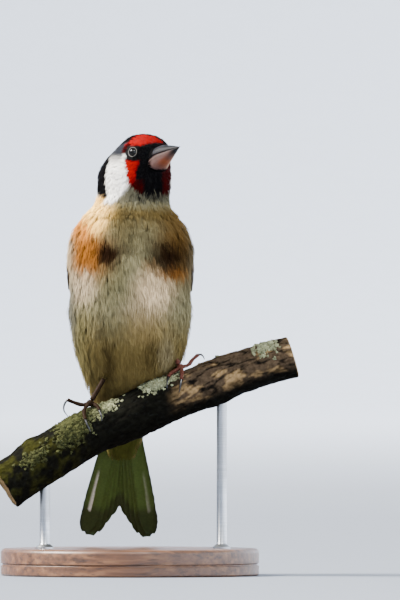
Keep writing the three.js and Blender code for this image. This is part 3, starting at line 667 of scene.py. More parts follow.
def head_colours(points, base):
    """The face, crown, cheeks and collar, laid over the body's colours."""
    forward, left, height = head_coordinates(points)
    azimuth = head_azimuth(points)
    side = np.abs(azimuth)
    tint = cover(base, NAPE, smoothstep(height, 62, 65) * smoothstep(side, 58, 78))
    # The throat under the bill is painted a dark grey, as shade under the bill and head
    throat = smoothstep(side, 95, 80) * smoothstep(height, 62.4, 64.4)
    tint = cover(tint, SHADED_THROAT, throat)
    fleck = np.sin(azimuth * 0.9 + height * 1.3) * np.sin(azimuth * 0.37 - height * 2.1)
    flecked = smoothstep(azimuth, -34, -26) * smoothstep(azimuth, 24, 14) * smoothstep(height, 63.2, 64.6)
    tint = cover(tint, BLACK, flecked * smoothstep(fleck, -0.3, 0.1) * 0.9)

    white_front = head_line("white_front", height)
    tint = cover(tint, WHITE, throat * smoothstep(side, white_front - 7, white_front + 5))
    tint = cover(tint, WHITE, smoothstep(side, white_front, white_front + 6) * smoothstep(height, 65, 66))
    # A dark grey of painted shade behind the eye on the head's right side
    tint = cover(tint, PAINTED_SHADE_GREY, smoothstep(height, 73.4, 77.8) * smoothstep(azimuth, -60, -75))
    white_back = head_line("white_back", height)
    nape = head_line("nape", side)
    collar = smoothstep(side, white_back - 1.5, white_back + 1.5) * smoothstep(height, nape, nape + 1)
    tint = cover(tint, BLACK, collar)

    crown_front = head_line("crown_front", left) + CROWN_SLANT * left
    crown_low = head_line("crown_low", azimuth)
    tint = cover(tint, BLACK, smoothstep(height, crown_low - 0.4, crown_low + 0.4))
    front = smoothstep(forward, crown_front - 0.25, crown_front + 0.25) * smoothstep(height, 79, 79.6)
    tint = cover(tint, CROWN_RED, front)

    brow = head_line("brow", side)
    back = head_line("face_back", height)
    chin = np.where(azimuth > 0, LEFT_CHIN, head_line("chin", -azimuth))
    face = smoothstep(side, back + 1.5, back - 1.5) * smoothstep(height, chin - 0.3, chin + 0.4)
    face = face * smoothstep(height, brow + 0.4, brow - 0.4)
    # Black over the lores and round the bill's root; under the bill, where the real chin is red, it is
    # painted shadow
    tint = cover(tint, BLACK, face)
    start = np.where(azimuth > 0, LEFT_CHEEK, head_line("cheek", height))
    cheek = face * smoothstep(side, start - 2, start + 2) * smoothstep(height, 75.9, 75.2)
    tint = cover(tint, RED, cheek * (azimuth <= 0))
    # On the head's left, far side the cheek's red is painted dark, as shade
    tint = cover(tint, DARK_RED, cheek * (azimuth > 0))
    # Low on the right cheek, beside that black, the red darkens as the painted shadow's edge
    low = face * smoothstep(side, 16, 22) * smoothstep(height, 70.5, 68.5)
    tint = cover(tint, DARK_RED, low * (azimuth <= 0))
    behind_eye = ((side - 74) / 8) ** 2 + ((height - 79.0) / 1.5) ** 2
    tint = cover(tint, DARK_RED, smoothstep(behind_eye, 1.2, 0.7))
    for eye in SIDES:
        reach = length_of(points - eye_centre(eye))
        tint = cover(tint, BLACK, smoothstep(reach, 3.0, 2.5) * smoothstep(height, 79.9, 79.4))
    return tint


def plumage_colours(points, angle):
    return head_colours(points, body_colours(points, angle))


# The skin, and feathers set over it

# Roots are tried at random, this many for each that fits, and kept where none is nearer than most of their
# spacing, looking through the cells round each
TRIALS = 3.2
CROWDING = 0.86
TRIAL_RINGS = 900
TRIAL_SIDES = 48
NEIGHBOURS = [(i, j, k) for i in (-1, 0, 1) for j in (-1, 0, 1) for k in (-1, 0, 1)]


def make_skin():
    station, angle, points = skin_grid()
    flat = points.reshape(-1, 3)
    faces = facing_out(flat, as_triangles(grid_faces(SKIN_RINGS, SKIN_SIDES, True)))
    mesh = mesh_from("skin", flat, faces)
    paint(mesh, plumage_colours(flat, angle.ravel()))
    row, column = np.divmod(corner_points(mesh), SKIN_SIDES)
    column = column.reshape(-1, 3)
    wraps = np.ptp(column, axis=1) > SKIN_SIDES // 2
    column = np.where(wraps[:, None] & (column < SKIN_SIDES // 2), column + SKIN_SIDES, column).ravel()
    unwrap(mesh, stacked(column / SKIN_SIDES, row / (SKIN_RINGS - 1)))
    flesh = ["head", "neck", "breast", "belly", "rump"]
    piece("skin", mesh, surface("skin_under_coat"), flesh)
    return tree_of(flat, faces)


def nearest(tree, points):
    """The nearest points of a surface and its normals there."""
    places = np.empty_like(points)
    normals = np.empty_like(points)
    for k, point in enumerate(points):
        place, normal, _, _ = tree.find_nearest(Vector(point))
        places[k] = place
        normals[k] = normal
    return places, normals


def body_lie(points, normals):
    """The way the feathers lie: back from the bill over the head, and down the body towards the tail."""
    bill = head_place(BILL_PLACE[0], 0, BILL_PLACE[1] - 1.0)
    from_bill = unit(points - bill)
    back = np.interp(points[:, 2], [5, 40], [0.55, 0.05])
    down = unit(stacked(np.zeros(len(points)), back, -np.ones(len(points))))
    body = smoothstep(points[:, 2], 74, 61)[:, None]
    far = smoothstep(length_of(points - bill), 3, 20)[:, None]
    way = mix(from_bill + down * far * 0.55, down, body)
    way = way - normals * dot(way, normals)[:, None]
    return unit(way)


def scatter(rng, spacing, low, high):
    """Roots spread evenly over the skin between two stations: their stations, angles and places."""
    station = np.linspace(low, high, TRIAL_RINGS)
    ring = body_point(station[:, None], round_angles(TRIAL_SIDES)[None, :])
    around = length_of(np.diff(ring, axis=1, append=ring[:, :1])).sum(axis=1)
    along = length_of(np.gradient(ring, axis=0)).mean(axis=1)
    weight = around * along / (spacing * spacing)
    total = int(weight.sum() * TRIALS)
    pick = np.interp(rng.random(total), np.cumsum(weight) / weight.sum(), station)
    angle = rng.random(total) * 2 * np.pi
    points = body_point(pick, angle, -coat_depth(pick))
    keep = spaced(points, spacing * CROWDING)
    return pick[keep], angle[keep], points[keep]


def spaced(points, reach):
    """Which of the points to keep, in order, so that none is within reach of one kept before."""
    keep, cells = [], {}
    spots = points.tolist()
    for k, (x, y, z) in enumerate(np.floor(points / reach).astype(int).tolist()):
        near = (cells.get((x + a, y + b, z + c), ()) for a, b, c in NEIGHBOURS)
        if all(math.dist(spots[k], spots[other]) >= reach for cell in near for other in cell):
            keep.append(k)
            cells.setdefault((x, y, z), []).append(k)
    return keep


def closed_barbs(axis, half, ridge, facing):
    """Three points round each place of a barb's axis and one at its tip, and the way the coat faces there."""
    corners = np.stack([axis - half, axis + half, axis + ridge], axis=-2)[..., :-1, :, :]
    body = corners.reshape(*axis.shape[:-2], -1, 3)
    points = np.concatenate([body, axis[..., -1:, :]], axis=-2)
    ways = np.concatenate([np.repeat(facing[..., :-1, :], 3, axis=-2), facing[..., -1:, :]], axis=-2)
    return points, ways


# A soft feather is a fan of barbs. How far it may turn aside; how much shorter its outer barbs are, and how
# uneven; its width at the root, how it closes at the tip, and how far barbs stray from their places; how its
# tips settle, and how deep its root sits. A barb's width as a share of its room, how it tapers, and its ridge
TURN_ASIDE = 0.1
OUTER_SHORTER = 0.3
UNEVEN = 0.07
ROOT_WIDTH = 0.12
TIP_CLOSING = 0.25
STRAYING = 0.12
SETTLING = 0.32
ROOT_SINK = 0.12
BARB_WIDTH = 1.15
BARB_TAPER = 0.75
BARB_RIDGE = 0.25


def barbed_feathers(rng, tree, lie, roots, size, depth, barbs, rings):
    """Points and triangles of many soft feathers, each a fan of closed, tapering barbs.

    lie gives the feathers' way at points and normals. roots has a point a row, size their lengths and widths,
    and depth how far their tips stand over the skin.
    Returns points (feather, barb, corner), the way the coat faces there, and the triangles of one barb.
    """
    length, width = size
    count = len(roots)
    start, normal0 = nearest(tree, roots)
    way0 = lie(start, normal0)
    turn = rng.normal(0, TURN_ASIDE, count)[:, None]
    way0 = unit(way0 + np.cross(normal0, way0) * turn)
    middle, normal1 = nearest(tree, start + way0 * (length / 2)[:, None])
    way1 = unit(lie(middle, normal1) + np.cross(normal1, lie(middle, normal1)) * turn)
    end, normal2 = nearest(tree, middle + way1 * (length / 2)[:, None])
    side1 = np.cross(normal1, way1)
    edge, _ = nearest(tree, middle + side1 * (width / 2)[:, None])
    fall = dot(middle - edge, normal1) / (width / 2) ** 2

    share = np.linspace(-1, 1, barbs)[None, :, None]
    t = np.linspace(0, 1, rings)[None, None, :]
    wander = rng.normal(0, 1, (count, barbs, 1))
    reach = 1 - OUTER_SHORTER * share ** 2 + UNEVEN * rng.normal(0, 1, (count, barbs, 1))
    along = t * reach
    opening = ROOT_WIDTH + (1 - ROOT_WIDTH) * t ** 0.8
    spread = opening * (share + STRAYING * wander) * (1 - TIP_CLOSING * t ** 3)
    u = along[..., None]
    spine = (start[:, None, None] * (1 - u) * (1 - 2 * u) + middle[:, None, None] * 4 * u * (1 - u)
             + end[:, None, None] * u * (2 * u - 1))
    normals = unit(mix(normal0[:, None, None], normal2[:, None, None], u))
    ways = unit(mix(way0[:, None, None], way1[:, None, None], u))
    sides = np.cross(normals, ways)
    across = spread * (width / 2)[:, None, None]
    settle = 1 - SETTLING * smoothstep(t, 0.5, 1)
    rise = depth[:, None, None] * along ** 0.65 * settle * (1 + 0.1 * wander) - ROOT_SINK
    rise = rise - fall[:, None, None] * across ** 2
    axis = spine + sides * across[..., None] + normals * rise[..., None]
    thick = (width / barbs)[:, None, None] * (BARB_WIDTH - BARB_TAPER * t ** 2) * np.ones_like(across)
    half = sides * (thick / 2)[..., None]
    ridge = normals * (thick * BARB_RIDGE)[..., None]
    facing = unit(normals + sides * (2 * fall[:, None, None] * across)[..., None])
    return *closed_barbs(axis, half, ridge, facing), barb_triangles(rings)


def barb_triangles(rings):
    """One barb: rings of three corners and a point at the tip, closed at the root."""
    triangles = [[0, 1, 2]]
    for i in range(rings - 2):
        for j in range(3):
            a, b = 3 * i + j, 3 * i + (j + 1) % 3
            triangles += [[a, a + 3, b], [b, a + 3, b + 3]]
    last = 3 * (rings - 2)
    tip = 3 * (rings - 1)
    for j in range(3):
        triangles.append([last + j, tip, last + (j + 1) % 3])
    return np.array(triangles)


# Each piece of the coat has fewer triangles than this, and each feather a patch of the UV map this wide. A
# barb is shaded mostly by the way the coat faces and differs a little in tone from the next; it is painted
# darker at its root, deep in the coat, than at its tip, as shade
MOST_TRIANGLES = 190000
PATCH = 0.003
SOFTNESS = 0.87
STRAND_SPREAD = 0.055
ROOT_SHADE = 0.95
TIP_TONE = 1.03


def coat_pieces(name, material, rng, feathers, tints, places):
    """Joins feathers into pieces under the limit of triangles, with a small patch of the UV map for each."""
    points, facing, barb = feathers
    count, barbs, corners = points.shape[:3]
    barb = facing_out(points[0, 0], barb)
    pieces = math.ceil(count / (MOST_TRIANGLES // (barbs * len(barb))))
    tone = np.linspace(ROOT_SHADE, TIP_TONE, corners).reshape(1, 1, corners, 1)
    steps = np.meshgrid(np.linspace(0, PATCH, barbs), np.linspace(0, PATCH, corners), indexing="ij")
    shift = np.stack(steps, axis=-1)[None]
    for k in range(pieces):
        part = slice(k * count // pieces, (k + 1) * count // pieces)
        block = points[part]
        number = len(block) * barbs
        triangles = (barb[None] + np.arange(number)[:, None, None] * corners).reshape(-1, 3)
        mesh = mesh_from(f"{name}_{k + 1}", block.reshape(-1, 3), triangles)
        shade = tints[part].reshape(len(block), -1, 1, 3)
        strand = rng.normal(1, STRAND_SPREAD, (len(block), barbs, 1, 1))
        paint(mesh, np.clip(shade * strand * tone, 0, 1).reshape(-1, 3))
        spots = (places[part][:, None, None] + shift).reshape(-1, 2)
        unwrap(mesh, spots[corner_points(mesh)])
        normals = unit(mix(read(mesh, "normal"), facing[part].reshape(-1, 3), SOFTNESS))
        mesh.normals_split_custom_set_from_vertices(normals)
        piece(f"{name}_{k + 1}", mesh, material)


def pale_edges(barbs):
    """Feathers of the back are paler at both sides than in the middle."""
    return mix(0.75, 1.2, np.abs(np.linspace(-1, 1, barbs)))[None, :, None]


def skin_place(station, angle):
    """A root's place on the skin's unwrap."""
    column = ((angle - np.pi) / (2 * np.pi)) % 1
    row = (station / LAST_STATION) ** (1 / RING_CROWDING)
    return stacked(column * (1 - PATCH), row * (1 - PATCH))


# Stretches of the coat: stations, distance between roots, length and width of a feather, barbs and rings, and
# how far colours wander. The mantle lies over the rest of the back and reaches no further round to the front
# than where the cosine of the angle is "behind"
COATS = [
    {"name": "face_feathers", "low": 0.15, "high": 5.2, "spacing": 0.58, "length": 1.6, "width": 1.0,
     "barbs": 6, "rings": 3, "wander": 0.1, "slot": "head_feathers"},
    {"name": "neck_feathers", "low": 5.2, "high": 8.6, "spacing": 0.82, "length": 3.1, "width": 1.8,
     "barbs": 9, "rings": 3, "wander": 0.2, "slot": "head_feathers"},
    {"name": "breast_feathers", "low": 8.6, "high": 13.0, "spacing": 1.22, "length": 5.4, "width": 3.0,
     "barbs": 14, "rings": 4, "wander": 0.28, "slot": "body_feathers"},
    {"name": "belly_feathers", "low": 13.0, "high": 16.6, "spacing": 1.25, "length": 6.6, "width": 3.0,
     "barbs": 14, "rings": 4, "wander": 0.28, "slot": "body_feathers"},
    {"name": "rump_feathers", "low": 16.6, "high": 19.3, "spacing": 1.2, "length": 6.0, "width": 2.8,
     "barbs": 11, "rings": 4, "wander": 0.28, "slot": "body_feathers"},
    {"name": "mantle_feathers", "low": 8.8, "high": 14.6, "spacing": 1.7, "length": 6.4, "width": 3.4,
     "barbs": 15, "rings": 4, "wander": 0.3, "slot": "body_feathers", "over": 1.1, "behind": -0.5},
]


BILL_CLEAR = 2.2
EYE_CLEAR = 2.15
FULLNESS = ([8, 10, 12, 15, 17], [0, 0.5, 0.9, 0.9, 0.3])
TIP_OVER = 1.22


def eye_centre(side):
    low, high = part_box(f"eye_{side}")
    return perch_frame((np.array(low) + np.array(high)) / 2)


# Where the breast's side feathers stand out over the front edge of the folded wing, and lower down sink under
# it: how far, its middle and spread in degrees round the body, the heights between which it grows, and those
# between which it fades
WING_COVERS = [
    (0.7, 80, 17, (46, 51), (57, 62)),
    (-1.3, 90, 15, (35, 39), (46, 50)),
]


def wing_cover(points, angle):
    side = np.degrees(np.abs((angle + np.pi) % (2 * np.pi) - np.pi))
    height = points[:, 2]
    total = np.zeros(len(points))
    for rise, middle, spread, (start, full), (fall, end) in WING_COVERS:
        band = smoothstep(height, start, full) * smoothstep(height, end, fall)
        total = total + rise * np.exp(-((side - middle) / spread) ** 2) * band
    return total


def make_coat(material, tree):
    rng = seeded("coat")
    for coat in COATS:
        station, angle, roots = scatter(rng, coat["spacing"], coat["low"], coat["high"])
        bill = length_of(roots - head_place(BILL_PLACE[0] - 0.3, 0, BILL_PLACE[1] - 0.3))
        keep = (bill > BILL_CLEAR) & (np.cos(angle) < coat.get("behind", 1))
        for side in SIDES:
            keep &= length_of(roots - eye_centre(side)) > EYE_CLEAR
        station, angle, roots, bill = station[keep], angle[keep], roots[keep], bill[keep]
        near_bill = np.interp(bill, [2.6, 9], [0.55, 1])
        length = coat["length"] * near_bill * rng.normal(1, 0.1, len(roots))
        width = coat["width"] * near_bill * rng.normal(1, 0.08, len(roots))
        over = coat.get("over", 0) * smoothstep(station, 8.6, 10.4)
        depth = TIP_OVER * coat_depth(station) * near_bill + np.interp(station, *FULLNESS)
        depth = (depth + wing_cover(roots, angle) + over) * rng.normal(0.98, 0.08, len(roots))
        points, facing, barb = barbed_feathers(rng, tree, body_lie, roots, (length, width), depth,
                                               coat["barbs"], coat["rings"])
        middles = points.mean(axis=2)
        middles = middles + rng.normal(0, coat["wander"], middles.shape)
        tints = plumage_colours(middles, angle[:, None]) * rng.normal(1, 0.05, (len(roots), 1, 1))
        if "over" in coat:
            tints = tints * pale_edges(coat["barbs"])
        order = np.argsort(station)
        feathers = (points[order], facing[order], barb)
        places = skin_place(station, angle)[order]
        coat_pieces(coat["name"], material, rng, feathers, tints[order], places)


# Eyes and lids

def eye_axis(side):
    sign = 1 if side == "left" else -1
    level = AHEAD * math.cos(EYE_FACING) + LEFT * sign * math.sin(EYE_FACING)
    return level * math.cos(EYE_LIFT) + UP * math.sin(EYE_LIFT)


def turned(profile, axis, centre, sides):
    """Rings of points from a profile of (distance along the axis, radius)."""
    profile = np.asarray(profile)
    across = unit(np.cross(axis, UP if abs(axis[2]) < 0.9 else AHEAD))
    third = np.cross(axis, across)
    angle = round_angles(sides)
    round_axis = across * np.cos(angle)[:, None] + third * np.sin(angle)[:, None]
    return centre + axis * profile[:, None, :1] + round_axis[None] * profile[:, None, 1:]


EYE_RADIUS = 1.6
EYE_STEPS = 40
EYE_SIDES = 48
IRIS = colour(9, 6, 5)
LID = colour(116, 111, 104)
LID_PLACE = (0.95, 1.38)
LID_HALF = 0.075
LID_STEPS = 20
LID_SIDES = 64
LID_RIPPLES = 16
LID_RIPPLE = 0.05


def make_eyeball(side, material):
    """The ball with its clear, slightly bulging front and its brown iris."""
    centre, axis = eye_centre(side), eye_axis(side)
    angle = np.linspace(np.pi - 0.02, 0.02, EYE_STEPS)
    bulge = 1 + 0.05 * np.exp(-(angle / 0.5) ** 2)
    profile = stacked(EYE_RADIUS * bulge * np.cos(angle), EYE_RADIUS * np.sin(angle))
    points, faces = capped_tube(turned(profile, axis, centre, EYE_SIDES))
    mesh = mesh_from(f"eye_{side}", points, facing_out(points, faces))
    reach = np.degrees(np.arccos(np.clip(dot(unit(points - centre), axis), -1, 1)))
    paint(mesh, cover(BLACK * 0.4, IRIS, smoothstep(reach, 19, 22)))
    piece(f"eyeball_{side}", mesh, material, [f"eye_{side}"])


def make_lids(side, material):
    """A thin rippled ring round the eye, black on its outer side."""
    centre, axis = eye_centre(side), eye_axis(side)
    turn = round_angles(LID_STEPS)
    profile = np.array(LID_PLACE) + LID_HALF * stacked(np.sin(turn), np.cos(turn))
    rings = turned(profile, axis, centre, LID_SIDES)
    ripple = 1 + LID_RIPPLE * np.cos(np.arange(LID_SIDES) * 2 * np.pi * LID_RIPPLES / LID_SIDES)
    flat = (centre + (rings - centre) * ripple[None, :, None] ** 0.5).reshape(-1, 3)
    faces = as_triangles(grid_faces(LID_STEPS + 1, LID_SIDES, True) % len(flat))
    mesh = mesh_from(f"lids_{side}", flat, facing_out(flat, faces))
    offset = flat - centre
    outward = length_of(offset - axis * dot(offset, axis)[:, None])
    paint(mesh, cover(BLACK, LID, smoothstep(outward, LID_PLACE[1] + 0.06, LID_PLACE[1])))
    piece(f"lids_{side}", mesh, material)


def make_eyes():
    gloss = surface("eye_gloss")
    rim = surface("eye_lid")
    for side in SIDES:
        make_eyeball(side, gloss)
        make_lids(side, rim)


# The bill

BILL_AHEAD = AHEAD * math.cos(BILL_PITCH) + UP * math.sin(BILL_PITCH)
BILL_UP = UP * math.cos(BILL_PITCH) - AHEAD * math.sin(BILL_PITCH)
BILL_TOP = colour(25, 24, 28)
BILL_UNDER = colour(78, 57, 52)
BILL_TIP = colour(12, 13, 17)
BILL_ORANGE = colour(124, 58, 22)
BILL_RIM_HIGHLIGHT = colour(176, 134, 98)
BILL_EDGE = colour(26, 20, 20)
BILL_RINGS = 44
BILL_SIDES = 40
BILL_TAPER = 0.86
BILL_TUCK = 0.84
CULMEN_CURVE = 1.45
CHIN_CURVE = 1.12
MOUTH_DROP = 0.55
MOUTH_GAP = 0.035
BILL_OVERLAP = 0.07


def bill_place(forward, left, height):
    root = head_place(BILL_PLACE[0], 0, BILL_PLACE[1])
    return (root + BILL_AHEAD * np.asarray(forward)[..., None] + LEFT * np.asarray(left)[..., None]
            + BILL_UP * np.asarray(height)[..., None])


def bill_surface(rise, forward, angle, over=0.0):
    """A point of half the bill, over its surface: rise is 1 above the mouth line and -1 below it."""
    height = CULMEN_HEIGHT if rise > 0 else CHIN_DEPTH
    left = 1 - np.maximum(forward, 0) / BILL_LENGTH
    girth = np.maximum(left, 0.03) ** BILL_TAPER
    tuck = mix(BILL_TUCK, 1, smoothstep(forward, -1.4, 1.4))
    if rise > 0:
        girth = girth * tuck
        arch = np.maximum(1 - (1 - left) ** CULMEN_CURVE, 0.045)
        boxy = 1.0
    else:
        arch = np.maximum(np.minimum(left, 0.95) ** CHIN_CURVE, 0.04)
        arch = arch * mix(0.66, 1, smoothstep(forward, -BILL_ROOT, 2.0))
        arch = arch * mix(0.5, 1, smoothstep(forward, -BILL_ROOT, -1.2))
        girth = girth * mix(0.6, 1, smoothstep(forward, -BILL_ROOT, -1.0))
        boxy = mix(0.5, 0.8, smoothstep(forward, -BILL_ROOT, 2.4))
    lift = np.maximum(np.sin(angle), 0) ** boxy
    out = np.sign(np.cos(angle)) * np.abs(np.cos(angle)) ** boxy
    if rise < 0:
        out = out * mix(0.95 * tuck, 1.08, smoothstep(lift, 0, 0.3))
    ridge = 1 - 0.1 * np.abs(np.cos(angle)) ** 0.8 * lift * (rise > 0)
    mouth = -MOUTH_DROP * (1 - smoothstep(forward, -1.5, 3.0))
    overlap = BILL_OVERLAP * rise * (1 - smoothstep(lift, 0, 0.25)) * (rise > 0)
    up = mouth + rise * MOUTH_GAP - overlap + rise * (height * arch * ridge + over) * lift
    return bill_place(forward, (BILL_HALF_WIDTH * girth + over) * out, up)


# The bill's halves: which way each lies from the mouth line, its share of the bill's length, its colour, and
# from where to where its tip darkens
BILL_HALVES = {
    "upper": (1, 1.0, BILL_TOP, (3.4, 6.4)),
    "lower": (-1, 0.95, BILL_UNDER, (6.4, 9.6)),
}
NOSTRIL = (0.9, 0.78, 1.9)
NOSTRIL_REACH = 0.42
NOSTRIL_DEPTH = 0.35


def with_nostrils(points):
    forward, share, height = NOSTRIL
    for side in (1, -1):
        pit = bill_place(forward, side * BILL_HALF_WIDTH * share, height)
        near = np.exp(-(length_of(points - pit) / NOSTRIL_REACH) ** 2)
        points = points - (LEFT * side)[None] * near[:, None] * NOSTRIL_DEPTH
    return points


def bill_tint(rise, main, dark, along, angle, lift):
    """Dark towards the tip and along the cutting edge, a black ridge above and a painted highlight rim below.
    """
    tint = cover(main, BILL_TIP, smoothstep(along, *dark))
    tint = cover(tint, BILL_EDGE, smoothstep(lift, 0.3, 0.06) * (1.0 if rise > 0 else 0.6))
    if rise > 0:
        return cover(tint, BILL_TIP, smoothstep(lift, 0.95, 0.995) * smoothstep(along, 0.5, 4.0) * 0.8)
    warm = 0.75 * np.exp(-((along - 4.2) / 2.0) ** 2)
    tint = cover(tint, BILL_ORANGE, warm * smoothstep(lift, 0.4, 0.8))
    # A pale rim on the lower half's far side, painted highlight
    rim = np.exp(-((angle - 1.0) / 0.28) ** 2) * smoothstep(along, 0.5, 2.5) * smoothstep(along, 9, 6)
    return cover(tint, BILL_RIM_HIGHLIGHT, rim * 0.8)


def make_bill():
    material = surface("bill_horn")
    for name, (rise, share, main, dark) in BILL_HALVES.items():
        forward = mix(-BILL_ROOT, BILL_LENGTH * share, np.linspace(0, 1, BILL_RINGS) ** 0.85)
        angle = round_angles(BILL_SIDES)
        forward, angle = np.meshgrid(forward, angle, indexing="ij")
        points, faces = capped_tube(bill_surface(rise, forward, angle))
        if rise > 0:
            points = with_nostrils(points)
        mesh = mesh_from(f"bill_{name}", points, facing_out(points, faces))
        along = np.append(forward.ravel(), [forward.max()] * 2)
        lift = np.append(np.maximum(np.sin(angle.ravel()), 0), [1, 1])
        paint(mesh, bill_tint(rise, main, dark, along, np.append(angle.ravel(), [0, 0]), lift))
        piece(f"bill_{name}_fine", mesh, material, [f"bill_{name}"])


# Bristles round the bill's root, lying forward over it: how many above and below the mouth, and how far their
# tips reach along the bill where they stand at its side and where they stand over its middle
BRISTLES = {
    1: (330, [1.4, 1.1, 0.9, 0.6, 0.5]),
    -1: (150, [1.5, 0.5, -0.7, 0.2, 1.6]),
}
BRISTLE_STEEP = [0, 0.3, 0.6, 0.85, 1]
BRISTLE_ROOTS = (-1.6, -0.4)
BRISTLE_RINGS = 5
BRISTLE_HALF = 0.13
BRISTLE_RISE = 0.3


def make_bristles(material):
    rng = seeded("bristles")
    made = []
    t = np.linspace(0, 1, BRISTLE_RINGS)[None, :]
    half = (BRISTLE_HALF * (1 - 0.7 * t ** 2))[..., None]
    for rise, (count, reaches) in BRISTLES.items():
        angle = np.arccos(np.clip(rng.uniform(-1.02, 1.02, count), -1, 1))
        reach = np.interp(np.sin(angle), BRISTLE_STEEP, reaches) + rng.normal(0, 0.25, count)
        forward = mix(rng.uniform(*BRISTLE_ROOTS, count)[:, None], reach[:, None], t)
        bend = angle[:, None] + rng.normal(0, 0.1, (count, 1)) * t
        over = BRISTLE_RISE * np.sin(np.pi * (0.25 + 0.7 * t)) * rng.uniform(0.3, 1.0, (count, 1))
        axis = bill_surface(rise, forward, bend, over)
        normal = unit(bill_surface(rise, forward, bend, over + 0.3) - axis)
        side = np.cross(normal, unit(np.gradient(axis, axis=1)))
        made.append(closed_barbs(axis, side * half, normal * half, normal))
    points, facing = (np.concatenate(part)[:, None] for part in zip(*made))
    tints = BLACK * rng.normal(1, 0.2, (len(points), 1))
    places = stacked(rng.random(len(points)), np.full(len(points), 0.002)) * (1 - PATCH)
    feathers = (points, facing, barb_triangles(BRISTLE_RINGS))
    coat_pieces("bill_bristles", material, rng, feathers, tints, places)


# Long feathers of the wings and the tail

ACROSS = np.array([-1, -0.8, -0.5, -0.22, -0.06, 0, 0.06, 0.22, 0.5, 0.8, 1])
VANE_THICKNESS = 0.2
VANE_ARCH = 0.08
VANE_ROOT = 0.62
VANE_RAGGED = 0.025
SHAFT_HEIGHT = 0.12
SHAFT_TAPER = 0.7


def feather_girth(t, blunt):
    root = mix(VANE_ROOT, 1, smoothstep(t, 0, blunt))
    tip = np.sqrt(np.maximum(1 - (np.maximum(t - blunt, 0) / (1.012 - blunt)) ** 2.4, 0))
    return root * tip


def long_feather(rng, place, ends, half, base, tilt, rise, steps, blunt):
    """One vane with its shaft: points, triangles, marks (along, across, under) and its flat pattern."""
    root, tip = ends
    t = np.linspace(0, 1, steps) ** 0.92
    s = np.concatenate([ACROSS, ACROSS[::-1]])
    under = np.concatenate([np.zeros(len(ACROSS)), np.ones(len(ACROSS))])
    t, s = np.meshgrid(t, s, indexing="ij")
    under = np.broadcast_to(under, t.shape)
    ragged = 1 + np.abs(s) ** 6 * VANE_RAGGED * rng.normal(0, 1, (steps, 1)) * smoothstep(t, 0.3, 0.8)
    reach = half * feather_girth(t, blunt) * ragged
    along = mix(root[0], tip[0], t)
    across = mix(root[1], tip[1], t) + s * reach
    low = base + rise * t + tilt * (1 - s) / 2 + VANE_ARCH * half * (1 - s ** 2)
    shaft = SHAFT_HEIGHT * (s == 0) * (1 - SHAFT_TAPER * t)
    height = low + np.where(under > 0, -shaft * 0.6, VANE_THICKNESS + shaft)
    rings = place(along, across, height)
    points, triangles = capped_tube(rings)
    length = np.linalg.norm(rings[-1].mean(axis=0) - rings[0].mean(axis=0))
    pattern = stacked(s * reach, t * length + 0.7 * np.abs(s * reach)).reshape(-1, 2)
    marks = stacked(t, s, under).reshape(-1, 3)
    marks = np.concatenate([marks, [[0, 0, 0], [1, 0, 0]]])
    pattern = np.concatenate([pattern, [[0, 0], [0, length]]])
    return points, facing_out(points, triangles), marks, pattern


def feather_group(name, material, feathers, replaces):
    """Joins long feathers; each comes with its tints. The UV map gives each its own cell."""
    points, triangles, tints, patterns, cells = [], [], [], [], []
    start = 0
    columns = math.ceil(math.sqrt(len(feathers)))
    for k, (own, faces, marks, pattern, tint) in enumerate(feathers):
        points.append(own)
        triangles.append(faces + start)
        tints.append(tint)
        patterns.append(pattern)
        corner = np.array([k % columns, k // columns]) / columns
        cell = stacked((marks[:, 1] * 0.46 + 0.5 + marks[:, 2]) / 2, marks[:, 0] * 0.98 + 0.01)
        cells.append(corner + cell * 0.96 / columns)
        start += len(own)
    mesh = mesh_from(name, np.concatenate(points), np.concatenate(triangles))
    paint(mesh, np.concatenate(tints))
    corners = corner_points(mesh)
    unwrap(mesh, np.concatenate(cells)[corners])
    unwrap(mesh, np.concatenate(patterns)[corners], "vane")
    piece(name, mesh, material, replaces)


YELLOW = colour(236, 186, 24)
WING_BLACK = colour(10, 9, 9)
WING_BROWN = colour(80, 60, 36)
TIP_WHITE = colour(232, 226, 214)
UNDER_TAIL = colour(62, 80, 32)


def edge_curve(points):
    shares = np.linspace(0, 1, 400)
    return shares, curve_through(points, shares)


LOWER_EDGE = edge_curve(WING_LOWER)
UPPER_EDGE = edge_curve(WING_UPPER)


def on_edge(edge, along):
    shares, points = edge
    return between(along, shares, points)


def wing_sheet(along, across):
    """A point of the left wing, by its share of the way to the tip and how far it is from the lower edge."""
    low, high = on_edge(LOWER_EDGE, along), on_edge(UPPER_EDGE, along)
    width = length_of(high - low)
    share = across / width
    out = (low + high) * [1, 1, 0] - [0, 4, 0]
    shoulder = 1 - smoothstep(along, 0, SHOULDER_REACH)
    arch = 4 * WING_BULGE * width * share * (1 - share)
    lift = arch + SHOULDER_LIFT * shoulder * smoothstep(share, -0.05, 0.35)
    lift = lift - SHOULDER_SINK * (1 - smoothstep(along, -0.05, 0.13))
    off_edge = [(at - place) / spread for at, place, spread in zip((along, share), EDGE_PLACE, EDGE_SPREAD)]
    lift = lift + EDGE_LIFT * np.exp(-off_edge[0] ** 2 - off_edge[1] ** 2)
    return mix(low, high, share[..., None]) + unit(out) * lift[..., None]


def wing_place(side):
    mirror = 1 if side == "left" else -1

    def place(along, across, height):
        step = 0.01
        point = wing_sheet(along, across)
        lengthwise = wing_sheet(along + step, across) - wing_sheet(along - step, across)
        crosswise = wing_sheet(along, across + step) - wing_sheet(along, across - step)
        point = point + unit(np.cross(lengthwise, crosswise)) * height[..., None]
        middle = WING_MIDDLE - WING_LEAN * smoothstep(-point[..., 2], -25, 12)
        tuck = 1 - WING_TUCK * smoothstep(-point[..., 2], -20, -6)
        return stacked(mirror * tuck * point[..., 0] + middle, point[..., 1], point[..., 2])

    return place


